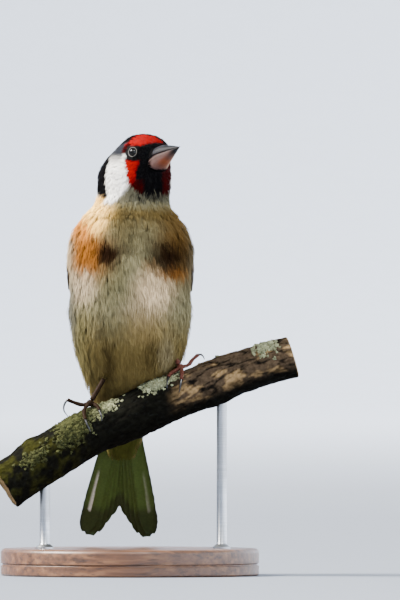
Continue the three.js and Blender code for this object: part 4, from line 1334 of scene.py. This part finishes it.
# Rows of the wing from its tip feathers to the small coverts of the shoulder: how many feathers; the roots
# and the tips of the first and the last, as a share of the wing's length and a distance from its lower edge;
# half width; how high the first and the last lie over the sheet; and how far their lower edge is raised
WING_ROWS = {
    "primary": (9, [[0.24, 2.0], [0.2, 4.8]], [[0.99, 1.2], [0.7, 5.6]], 1.95, [0, 0.5], 0.5),
    "secondary": (6, [[0.16, 4.8], [0.14, 8.8]], [[0.665, 6.0], [0.62, 9.2]], 2.1, [0.6, 0.95], 0.5),
    "tertial": (3, [[0.16, 8.8], [0.14, 11]], [[0.63, 9.6], [0.5, 12]], 2.6, [1.05, 1.35], 0.5),
    "greater": (10, [[0.15, 1.6], [0.1, 12.6]], [[0.33, 1.9], [0.35, 12.8]], 1.6, [0.7, 1.5], 0.45),
    "median": (9, [[0.09, 1.9], [0.06, 13.0]], [[0.22, 1.9], [0.235, 13.2]], 1.6, [1.0, 1.75], 0.4),
    "lesser": (9, [[0.04, 2.0], [0.02, 13.3]], [[0.155, 2.0], [0.17, 13.6]], 1.6, [1.05, 1.9], 0.4),
    "marginal": (9, [[0.0, 2.4], [0.0, 13.4]], [[0.1, 2.1], [0.11, 13.8]], 1.6, [0.95, 1.9], 0.4),
}
# How brown the small coverts are at the root, how much more so at the tip, and where that starts and ends
COVERT_BROWNS = {
    "median": (0.12, 0.3, 0.75, 0.95),
    "lesser": (0.5, 0.25, 0.5, 0.9),
    "marginal": (0.9, 0.1, 0.5, 0.9),
}
# Where the rows of flight feathers begin to round off towards their tips; all the other rows are coverts
WING_BLUNT = {"primary": 0.84, "secondary": 0.84, "tertial": 0.76}
FLIGHT_STEPS = 40
COVERT_BLUNT = 0.6
COVERT_STEPS = 20
COVERT_RISE = 0.4
TIP_SPREAD = 0.004


def wing_tint(kind, share, marks):
    t, s = marks[:, 0], marks[:, 1]
    tint = WING_BLACK
    if kind == "primary":
        tint = cover(tint, YELLOW, smoothstep(t, 0.40 - 0.1 * share, 0.37 - 0.1 * share))
        tint = cover(tint, TIP_WHITE, smoothstep(t - 0.02 * s ** 2, 0.968, 0.978) * smoothstep(s, 0.6, 0.2))
    elif kind == "secondary":
        tint = cover(tint, YELLOW, smoothstep(t, 0.42, 0.39))
        tint = cover(tint, TIP_WHITE, smoothstep(t - 0.03 * s ** 2, 0.93, 0.945) * smoothstep(s, -0.4, -0.2))
    elif kind == "tertial":
        tint = cover(tint, TIP_WHITE, smoothstep(t, 0.85, 0.87) * smoothstep(np.abs(s), 1.1, 0.7))
    elif kind == "greater":
        tint = cover(tint, YELLOW, smoothstep(t, mix(0.4, 0.66, share), mix(0.46, 0.72, share)))
    else:
        brown, more, low, high = COVERT_BROWNS[kind]
        tint = cover(tint, WING_BROWN, brown + more * smoothstep(t, low, high))
    edge = smoothstep(np.abs(s), 0.86, 1.0) * smoothstep(t, 0.2, 0.5)
    return cover(tint, WING_BROWN, edge * (0.25 if kind in ("primary", "secondary") else 0.5))


def make_wings(material):
    for side in SIDES:
        rng = seeded(f"wing_{side}")
        place = wing_place(side)
        feathers = []
        for kind, (count, roots, tips, half, bases, tilt) in WING_ROWS.items():
            if kind in WING_BLUNT:
                shape = (0, FLIGHT_STEPS, WING_BLUNT[kind])
            else:
                shape = (COVERT_RISE, COVERT_STEPS, COVERT_BLUNT)
            for share in np.arange(count) / (count - 1):
                root, tip = mix(*np.array(roots), share), mix(*np.array(tips), share)
                tip[0] += rng.normal(0, TIP_SPREAD)
                made = long_feather(rng, place, (root, tip), half, mix(*bases, share), tilt, *shape)
                feathers.append((*made, wing_tint(kind, share, made[2])))
        feather_group(f"wing_{side}_feathers", material, feathers, [f"wing_{side}"])


# Shoulder feathers, on a sheet over the upper part of each folded wing: its reach along and across the wing,
# its height over the wing, and the feathers' own distance apart, length, width, depth, barbs and rings
SCAPULARS = {"along": (-0.04, 0.36), "across": (6.0, 20.0), "over": 1.6, "spacing": 1.1, "length": 5.2,
             "width": 2.7, "depth": 0.75, "barbs": 14, "rings": 4}
SHEET_ROWS = 40
SHEET_COLUMNS = 30


def scapular_sheet(side, skin):
    """The sheet's points, drawn in to the skin, which of them carry feathers, and its faces as a tree."""
    along = np.linspace(*SCAPULARS["along"], SHEET_ROWS)
    across = np.linspace(*SCAPULARS["across"], SHEET_COLUMNS)
    along, across = np.meshgrid(along, across, indexing="ij")
    over = SCAPULARS["over"] * mix(0.1, 1, smoothstep(across, 19.5, 14.5))
    sheet = wing_place(side)(along, across, over).reshape(-1, 3)
    wanted = (across > np.interp(along, [-0.04, 0.1, 0.36], [6.0, 9.0, 11.5])).ravel()
    under, _ = nearest(skin, sheet)
    gap = sheet - under
    most = np.interp(across, [13, 18], [6, 3]) * np.interp(along, [-0.04, 0.14], [0.25, 1])
    share = np.minimum(most.ravel() / length_of(gap), 1)
    sheet = under + gap * share[:, None]
    triangles = as_triangles(grid_faces(SHEET_ROWS, SHEET_COLUMNS))
    a, b, c = (sheet[triangles[:, k]] for k in range(3))
    if np.sum(dot(np.cross(b - a, c - a), a * [1, 1, 0])) < 0:
        triangles = triangles[:, ::-1]
    return sheet, wanted, tree_of(sheet, triangles)


def make_scapulars(material, skin):
    """Soft brown shoulder feathers that lie from the back over the folded wing's upper edge."""
    for side in SIDES:
        rng = seeded(f"scapulars_{side}")
        sheet, wanted, tree = scapular_sheet(side, skin)
        order = rng.permutation(np.flatnonzero(wanted))
        kept = order[spaced(sheet[order], SCAPULARS["spacing"])]
        kept = kept[np.argsort(-sheet[kept, 2])]
        count = len(kept)
        size = [SCAPULARS[measure] * rng.normal(1, 0.08, count) for measure in ("length", "width")]
        depth = SCAPULARS["depth"] * rng.normal(1, 0.1, count)
        feathers = barbed_feathers(rng, tree, body_lie, sheet[kept], size, depth,
                                   SCAPULARS["barbs"], SCAPULARS["rings"])
        tints = BACK * pale_edges(SCAPULARS["barbs"]) * rng.normal(1, 0.08, (count, 1, 1))
        row, column = np.divmod(kept, SHEET_COLUMNS)
        places = stacked(column / SHEET_COLUMNS, row / SHEET_ROWS) * (1 - PATCH)
        coat_pieces(f"scapulars_{side}", material, rng, feathers, tints, places)


TAIL_RINGS = 48
TAIL_BLUNT = 0.86
TAIL_DOWN = np.array([0, math.sin(TAIL_SLOPE), -math.cos(TAIL_SLOPE)])
TAIL_UP = np.array([0, math.cos(TAIL_SLOPE), math.sin(TAIL_SLOPE)])


def tail_place(spread, start, side):
    turn = math.radians(side * spread + TAIL_LEAN)

    def place(along, across, height):
        down = along * math.cos(turn) - side * across * math.sin(turn)
        right = side * start + along * math.sin(turn) + side * across * math.cos(turn)
        return (TAIL_ROOT + TAIL_DOWN * down[..., None] + TAIL_UP * height[..., None]
                + np.array([1, 0, 0]) * right[..., None])

    return place


def tail_tint(i, side, marks):
    """i counts from the outermost feather; across is positive on the outer side of each."""
    t, s, under = np.moveaxis(marks, -1, 0)
    if i >= 2:
        tint = cover(WING_BLACK, TIP_WHITE, smoothstep(t, 0.93, 0.95) * smoothstep(np.abs(s), 1.1, 0.8))
    else:
        patch = smoothstep(t, 0.58, 0.66) * smoothstep(t, 0.87, 0.84)
        tint = cover(WING_BLACK, TIP_WHITE, patch * smoothstep(s, 0.05, -0.02) * smoothstep(s, -0.98, -0.85))
    below = cover(UNDER_TAIL, WING_BLACK, smoothstep(t, 0.78, 0.86) * 0.6)
    below = cover(below, WING_BLACK, smoothstep(s, 0.72, 0.92) * 0.8)
    if i == 0:
        width = 0.03 + 0.13 * smoothstep(t, 0.56, 0.82)
        stripe = smoothstep(t, 0.55, 0.63) * smoothstep(t, 0.86, 0.84)
        stripe = stripe * smoothstep(np.abs(s - 0.22), width + 0.06, width)
        below = cover(below, TIP_WHITE, stripe * (0.6 if side < 0 else 0.12))
    return mix(tint, below, under[:, None])


def make_tail(material):
    rng = seeded("tail")
    feathers = []
    for side in (1, -1):
        for i, row in enumerate(TAIL_FEATHERS):
            place = tail_place(row["spread"], row["start"], side)
            ends = ([0, 0], [row["length"], 0])
            base = i * TAIL_STEP + TAIL_BASE
            made = long_feather(rng, place, ends, TAIL_HALF, base, 0, 0, TAIL_RINGS, TAIL_BLUNT)
            feathers.append((*made, tail_tint(i, side, made[2])))
    feather_group("tail_feathers", material, feathers, ["tail"])


# Legs and feet

# The right leg's near-black brown is painted shade; the left keeps the legs' own reddish brown
LEG = {"right": colour(30, 17, 6), "left": colour(88, 50, 40)}
LEG_CREASE = colour(22, 11, 7)
CLAW = colour(14, 12, 12)
SCUTE = 0.62
SCUTE_STEP = 0.09
LEG_VOXEL = 0.09
CLAW_VOXEL = 0.06


def ankle(side):
    points = read_points(frame["nodes"][f"shank_{side}"].data)
    return points[points[:, 2].argmin()]


def make_legs():
    skin = surface("leg_scales")
    horn = surface("claw_horn")
    for side in SIDES:
        centre = ankle(side)
        for node in (f"shank_{side}", f"foot_{side}"):
            mesh = refined(node, LEG_VOXEL, 5)
            points, normals = read_points(mesh), read(mesh, "normal")
            reach = length_of(points - centre)
            step = (reach / SCUTE) % 1
            outer = smoothstep(normals[:, 2], -0.6, 0.2)
            rise = SCUTE_STEP * (smoothstep(step, 0, 0.15) - 0.5 * step) * outer
            write_points(mesh, points + normals * rise[:, None])
            paint(mesh, cover(LEG[side], LEG_CREASE, smoothstep(step, 0.14, 0.02) * 0.7))
            piece(f"{node}_scaled", mesh, skin, [node])
        for toe in ("outer", "middle", "inner", "hind"):
            node = f"claw_{toe}_{side}"
            mesh = refined(node, CLAW_VOXEL, 4)
            paint(mesh, CLAW)
            piece(f"{node}_curved", mesh, horn, [node])


# The thighs, from inside the belly to the shank, with feathers that lie down the leg: points of each one's
# middle line, and its radii along that line
THIGHS = {
    "right": ([[-5.0, -2.5, 24], [-5.4, -4.2, 17], [-7.0, -4.4, 12.8]], [3.2, 2.8, 1.5, 0.7]),
    "left": ([[8.0, -1.5, 31], [9.0, -2.0, 25], [10.6, -2.4, 20.4]], [3.4, 3.0, 1.6, 0.7]),
}
THIGH_PARTS = [0, 0.45, 0.8, 1]
THIGH_END = 0.18
THIGH_RINGS = 60
THIGH_SIDES = 48
THIGH_SPACING = 0.6
THIGH_DEPTH = 0.5
THIGH_BARBS = 9
THIGH_BARB_RINGS = 4


def thigh_surface(side, foot):
    points, radii = THIGHS[side]
    shares = np.linspace(0, 1, THIGH_RINGS)
    line = curve_through([*points, mix(np.array(points[-1]), foot, THIGH_END)], shares)
    girth = np.interp(shares, THIGH_PARTS, radii)[:, None, None]
    tangent = unit(np.gradient(line, axis=0))
    across = unit(np.cross(tangent, AHEAD))
    third = np.cross(tangent, across)
    angle = round_angles(THIGH_SIDES)[None, :, None]
    points, faces = capped_tube(
        line[:, None] + (across[:, None] * np.cos(angle) + third[:, None] * np.sin(angle)) * girth)
    return points, facing_out(points, faces)


def make_thighs(material):
    for side in THIGHS:
        rng = seeded(f"thigh_{side}")
        foot = ankle(side)
        points, faces = thigh_surface(side, foot)
        mesh = mesh_from(f"thigh_{side}", points, faces)
        # The thigh's skin and feathers are painted dark olive, as shade under the belly
        paint(mesh, OLIVE_BUFF * 0.5)
        row, column = np.divmod(corner_points(mesh), THIGH_SIDES)
        unwrap(mesh, stacked(column / THIGH_SIDES, row / (THIGH_RINGS + 1)))
        piece(f"thigh_{side}_skin", mesh, surface("skin_under_coat"), [f"thigh_{side}"])

        tree = tree_of(points, faces)
        order = rng.permutation(len(points) - 2)
        kept = order[spaced(points[order], THIGH_SPACING)]
        count = len(kept)
        low = smoothstep(kept / len(points), 0.5, 0.95)
        size = (mix(4.2, 2.4, low) * rng.normal(1, 0.1, count), mix(1.8, 0.9, low))
        depth = THIGH_DEPTH * mix(1.2, 0.6, low) * rng.normal(1, 0.1, count)

        def lie(places, facing):
            down = unit(foot - places)
            return unit(down - facing * dot(down, facing)[:, None])

        feathers = barbed_feathers(rng, tree, lie, points[kept], size, depth, THIGH_BARBS, THIGH_BARB_RINGS)
        # Darker still towards the foot, as painted shade
        tints = OLIVE_BUFF * mix(0.7, 0.22, low[:, None]) * rng.normal(1, 0.07, (count, 1))
        places = stacked((kept % THIGH_SIDES) / THIGH_SIDES, kept / len(points)) * (1 - PATCH)
        coat_pieces(f"thigh_{side}_feathers", material, rng, feathers, tints, places)


# The branch

SHADED_BARK = colour(14, 14, 10)
BARK_DARK = colour(10, 9, 7)
BARK_ROSY = colour(82, 67, 51)
BARK_PALE = colour(160, 130, 88)
MOSS = colour(50, 50, 15)
WOOD = colour(198, 164, 118)
LICHEN = colour(138, 140, 108)
LICHEN_OLIVE = colour(53, 55, 30)
BARK_VOXEL = 0.42
BRANCH_MIDDLE = 4
BRANCH_REACH = 34
YEAR_RING = 0.8
PLATE_RISE = 0.24
FISSURE_DEPTH = 0.28


def branch_axis(points):
    """The branch's middle line, as smooth functions of x."""
    edges = np.linspace(points[:, 0].min(), points[:, 0].max(), 26)
    middles, centres = [], []
    for low, high in zip(edges[:-1], edges[1:]):
        inside = (points[:, 0] >= low) & (points[:, 0] < high)
        block = points[inside]
        middles.append((low + high) / 2)
        centres.append((block.max(axis=0) + block.min(axis=0)) / 2)
    centres = np.array(centres)
    fit = [np.polyfit(middles, centres[:, k], 5) for k in (1, 2)]
    return lambda x: stacked(x, np.polyval(fit[0], x), np.polyval(fit[1], x))


def bark_spread(x, angle, along, round_it):
    """A place in the noise for a spot of the bark: how fast it changes along the branch and round it."""
    return Vector((x * along, math.cos(angle) * round_it, math.sin(angle) * round_it))


def make_branch():
    mesh = refined("perch_branch", BARK_VOXEL, 3)
    points, normals = read_points(mesh), read(mesh, "normal")
    axis = branch_axis(points)
    centre = axis(points[:, 0])
    offset = points - centre
    angle = np.arctan2(-offset[:, 1], offset[:, 2])
    feet = np.min([length_of(points - ankle(side)) for side in SIDES], axis=0)
    clear = smoothstep(feet, 2.5, 7)
    fissures, plates, blotches = np.empty((3, len(points)))
    for k, (x, a) in enumerate(zip(points[:, 0], angle)):
        fissures[k] = noise.ridged_multi_fractal(bark_spread(x, a, 0.16, 3.2), 1.0, 2.1, 4, 1.0, 2.0)
        plates[k] = noise.fractal(bark_spread(x, a, 0.3, 1.6), 1.0, 2.0, 3)
        blotches[k] = noise.fractal(bark_spread(x, a, 0.17, 2.6), 1.0, 2.0, 3)
    fissures = smoothstep(fissures, np.percentile(fissures, 55), np.percentile(fissures, 96))
    flat_end = smoothstep(np.abs(normals[:, 0]), 0.93, 0.8)
    rise = (PLATE_RISE * plates - FISSURE_DEPTH * fissures) * mix(0.3, 1, clear) * flat_end
    points = points + normals * rise[:, None]
    write_points(mesh, points)
    tint = bark_tint(points[:, 0], angle, fissures, plates, blotches)
    ends = (1 - flat_end) * (np.abs(points[:, 0] - BRANCH_MIDDLE) > BRANCH_REACH)
    rings = 0.5 + 0.5 * np.cos(length_of(offset) * 2 * np.pi / YEAR_RING)
    paint(mesh, mix(tint, WOOD * (0.7 + 0.3 * rings[:, None]), ends[:, None]))
    piece("branch_bark", mesh, surface("bark"), ["perch_branch"])
    faces = np.array([list(face.vertices) for face in mesh.polygons])
    tree = tree_of(points, as_triangles(faces))
    make_lichen(axis, tree)


def bark_tint(x, angle, fissures, plates, blotches):
    """Dark fissures all over, rosy and pale bark towards +X, moss towards -X, and painted shade underneath.
    """
    round_it = np.abs(angle)
    # The bark's base is painted near black, as shade over the branch
    tint = cover(SHADED_BARK, BARK_DARK, fissures * 0.85)
    rosy = smoothstep(x, 10, 18) * smoothstep(round_it, 2.4, 1.6)
    tint = cover(tint, BARK_ROSY, rosy * 0.75 * (1 - fissures))
    tint = cover(tint, BARK_PALE, rosy * smoothstep(blotches, 0.1, 0.4) * (1 - 0.6 * fissures) * 0.7)
    tint = cover(tint, MOSS, smoothstep(x, -8, -20) * smoothstep(plates, -0.3, 0.3) * 0.5)
    # Painted shade darkening the branch's underside
    return cover(tint, BARK_DARK, smoothstep(round_it, 1.7, 2.6) * 0.5)


# Crusts of lichen: place along the branch, angle from the top towards the front, spread along the branch and
# round it, and how many lobes
LICHENS = [
    (-16.5, 58, 4.2, 26, 640),
    (-18.0, 20, 3.6, 20, 260),
    (-8.5, 30, 4.0, 20, 420),
    (8.8, 24, 4.4, 20, 800),
    (40.0, 30, 3.0, 24, 240),
    (-28.0, 66, 3.6, 20, 160),
    (24.0, -50, 6.0, 30, 120),
]
LOBE_SIDES = 8
LOBE_SIZE = 0.32
LOBE_SPREAD = 0.12
LOBE_LEAST = 0.1
# A lobe is painted lighter at its rim, as highlight, and darker in its middle and underneath, as shade
LOBE_RIM_HIGHLIGHT = 1.2
LOBE_UNDER_SHADE = 0.5
MIDDLE_TONES = [0.7, 0.4]
FOOT_CLEAR = 1.5


def bark_spot(axis, tree, x, degrees):
    centre = axis(np.array(float(x)))
    turn = math.radians(degrees)
    way = Vector((0, -math.sin(turn), math.cos(turn)))
    place, normal, _, _ = tree.ray_cast(Vector(centre) + way * 14, -way)
    return (None, None) if place is None else (np.array(place), np.array(normal))


def make_lichen(axis, tree):
    rng = seeded("lichen")
    points, triangles, tints = [], [], []
    start = 0
    feet = [ankle(side) for side in SIDES]
    for x, degrees, long, spread, count in LICHENS:
        for _ in range(count):
            along = x + rng.normal(0, long * 0.55)
            place, normal = bark_spot(axis, tree, along, degrees + rng.normal(0, spread * 0.6))
            if place is None or min(np.linalg.norm(place - foot) for foot in feet) < FOOT_CLEAR:
                continue
            lobe = lichen_lobe(rng, place, normal)
            points.append(lobe)
            triangles.append(LOBE_FACES + start)
            shade = mix(LICHEN_OLIVE, LICHEN, float(smoothstep(place[0], -14, 2)))
            shade = shade * max(rng.normal(1, 0.28), 0.3)
            tones = [LOBE_RIM_HIGHLIGHT] * LOBE_SIDES + [LOBE_UNDER_SHADE] * LOBE_SIDES + MIDDLE_TONES
            tints.append(shade[None] * np.array(tones)[:, None])
            start += len(lobe)
    mesh = mesh_from("lichen", np.concatenate(points), np.concatenate(triangles))
    paint(mesh, np.clip(np.concatenate(tints), 0, 1))
    piece("lichen_crusts", mesh, surface("lichen"))


def lobe_faces():
    faces = []
    for j in range(LOBE_SIDES):
        k = (j + 1) % LOBE_SIDES
        faces += [[j, k, 2 * LOBE_SIDES], [j, LOBE_SIDES + j, k], [k, LOBE_SIDES + j, LOBE_SIDES + k],
                  [LOBE_SIDES + k, LOBE_SIDES + j, 2 * LOBE_SIDES + 1]]
    return np.array(faces)


LOBE_FACES = lobe_faces()


def lichen_lobe(rng, place, normal):
    """A small crinkled leaf of lichen with a raised rim."""
    size = abs(rng.normal(LOBE_SIZE, LOBE_SPREAD)) + LOBE_LEAST
    normal = unit(normal + rng.normal(0, 0.3, 3))
    first = unit(np.cross(normal, rng.normal(0, 1, 3)))
    second = np.cross(normal, first)
    angle = np.arange(LOBE_SIDES) * 2 * np.pi / LOBE_SIDES
    reach = size * (1 + 0.3 * np.sin(angle * 3 + rng.random() * 6) + 0.12 * rng.normal(0, 1, LOBE_SIDES))
    ring = first * (np.cos(angle) * reach)[:, None] + second * (np.sin(angle) * reach)[:, None]
    lift = 0.2 + 0.12 * rng.normal() + 0.09 * rng.normal(0, 1, LOBE_SIDES)
    rim = place + ring + normal * lift[:, None]
    foot = place + ring * 0.75 - normal * 0.25
    return np.concatenate([rim, foot, [place + normal * 0.14], [place - normal * 0.3]])


# The stand

def lathe(name, profile, centre, sides, material, replaces):
    points, faces = capped_tube(turned(profile, UP, centre, sides))
    mesh = mesh_from(name, points, facing_out(points, faces))
    made = piece(name, mesh, material, replaces)
    bevels = made.modifiers.new("edges", "EDGE_SPLIT")
    bevels.split_angle = math.radians(40)
    return made


# The base: its bevel and rounding, and a groove round its side at a share of its height. The rods: how far
# they reach into base and branch, and the collar at their foot, as heights and shares of their radius
BASE_BEVEL = 0.5
BASE_ROUNDING = 1.3
BASE_SIDES = 160
GROOVE_PLACE = 0.42
GROOVE_HALF = 0.4
GROOVE_DEPTH = 0.45
ROD_SINK = 0.3
ROD_SIDES = 48
COLLAR = [(0, 1.75), (0.5, 1.75), (0.9, 1.5), (1.3, 1.1), (1.5, 1.0)]
NEAR_MIDDLE = 0.02


def upright(node):
    """The foot, the radius and the height of a round, upright node."""
    low, high = (perch_frame(np.array(corner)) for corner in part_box(node))
    foot = np.array([(low[0] + high[0]) / 2, (low[1] + high[1]) / 2, low[2]])
    return foot, (high[0] - low[0]) / 2, high[2] - low[2]


def make_stand():
    foot, radius, tall = upright("stand_base")
    inner, top = radius - BASE_ROUNDING, tall - BASE_ROUNDING
    shoulder = [(top + BASE_ROUNDING * math.sin(a), inner + BASE_ROUNDING * math.cos(a))
                for a in np.linspace(0, np.pi / 2, 8)]
    groove = [(tall * GROOVE_PLACE - GROOVE_HALF * math.cos(a), radius - GROOVE_DEPTH * math.sin(a))
              for a in np.linspace(0, np.pi, 7)]
    profile = [(0, NEAR_MIDDLE), (0, radius - BASE_BEVEL), (BASE_BEVEL, radius), *groove, *shoulder,
               (tall, NEAR_MIDDLE)]
    lathe("base_turned", profile, foot, BASE_SIDES, base_material(), ["stand_base"])
    steel = rod_material()
    for side in SIDES:
        node = f"stand_rod_{side}"
        foot, radius, tall = upright(node)
        tall = tall + 2 * ROD_SINK
        collar = [(height, radius * share) for height, share in COLLAR]
        profile = [(0, NEAR_MIDDLE), *collar, (tall * 0.5, radius), (tall, radius), (tall, NEAR_MIDDLE)]
        lathe(f"rod_{side}", profile, foot - UP * ROD_SINK, ROD_SIDES, steel, [node])


# Camera, lights and stage

def make_camera():
    data = bpy.data.cameras.new("camera")
    data.sensor_width = SENSOR
    data.lens = SENSOR * CAMERA_DISTANCE / FRAME_HEIGHT
    data.clip_start = 0.05
    data.clip_end = 60
    camera = add_object("camera", data)
    camera.location = (CAMERA_PLACE[0] * MM, (PERCH_ORIGIN[1] - CAMERA_DISTANCE) * MM, CAMERA_PLACE[1] * MM)
    camera.rotation_euler = (math.pi / 2, 0, 0)
    bpy.context.scene.camera = camera


# The key light is a broad, distant lamp; the small one on the right gives the eye its glint
KEY_FROM = Vector((-0.74, -0.08, 0.66))
KEY_POWER = 20.0
KEY_WIDTH = math.radians(28)
KEY_COLOUR = (1.0, 0.955, 0.89)
GLINT_FROM = Vector((0.17, -0.68, 0.72))
GLINT_POWER = 7.0
GLINT_SIZE = 0.2
AIM = Vector((0.0, 0.0, 0.1))
SKY_COLOUR = (0.88, 0.94, 1.0, 1)
SKY_STRENGTH = 1.0


def add_light(name, kind, power, place):
    data = bpy.data.lights.new(name, kind)
    data.energy = power
    light = add_object(name, data)
    light.location = place
    light.rotation_euler = (AIM - place).to_track_quat("-Z", "Y").to_euler()
    return data


def make_lights():
    key = add_light("key", "SUN", KEY_POWER, AIM + KEY_FROM * 2)
    key.angle = KEY_WIDTH
    key.color = KEY_COLOUR
    glint = add_light("glint", "AREA", GLINT_POWER, AIM + GLINT_FROM)
    glint.shape = "DISK"
    glint.size = GLINT_SIZE
    sky = bpy.data.worlds.new("studio")
    sky.use_nodes = True
    background = sky.node_tree.nodes["Background"]
    background.inputs["Color"].default_value = SKY_COLOUR
    background.inputs["Strength"].default_value = SKY_STRENGTH
    bpy.context.scene.world = sky


STAGE_RADIUS = 6500
STAGE_BEND = 2500
STAGE_HEIGHT = 5500
STAGE_SIDES = 128
STAGE_STEPS = 16
FLOOR_RINGS = (1, 300, 1200, 2000, 3000, 4000, 5000, 6000)
STAGE_SHADING = (1000, 7000)
STAGE_NEAR = colour(128, 134, 144)
STAGE_FAR = colour(205, 214, 228)


def make_stage():
    """A seamless floor that curves up into a wall all round."""
    turn = np.linspace(0, np.pi / 2, STAGE_STEPS)
    bend = [(STAGE_BEND * (1 - math.cos(a)), STAGE_RADIUS + STAGE_BEND * math.sin(a)) for a in turn]
    profile = [(0, radius) for radius in FLOOR_RINGS] + bend + [(STAGE_HEIGHT, STAGE_RADIUS + STAGE_BEND)]
    floor = np.array([0.0, 0.0, -PERCH_ORIGIN[2]])
    rings = turned(profile, UP, floor, STAGE_SIDES)
    flat = rings.reshape(-1, 3)
    mesh = mesh_from("stage", flat, grid_faces(len(profile), STAGE_SIDES, True))
    mesh.flip_normals()
    away = smoothstep(length_of(flat - floor), *STAGE_SHADING)
    paint(mesh, mix(STAGE_NEAR, STAGE_FAR, away[:, None]))
    mesh.materials.append(surface("paper"))
    add_object("stage", mesh)


make_camera()
plumage = surface("body_plumage")
vanes = vane_material()
skin_tree = make_skin()
make_coat(plumage, skin_tree)
make_eyes()
make_bill()
make_bristles(plumage)
make_wings(vanes)
make_scapulars(plumage, skin_tree)
make_tail(vanes)
make_thighs(plumage)
make_legs()
make_branch()
make_stand()
make_lights()
make_stage()
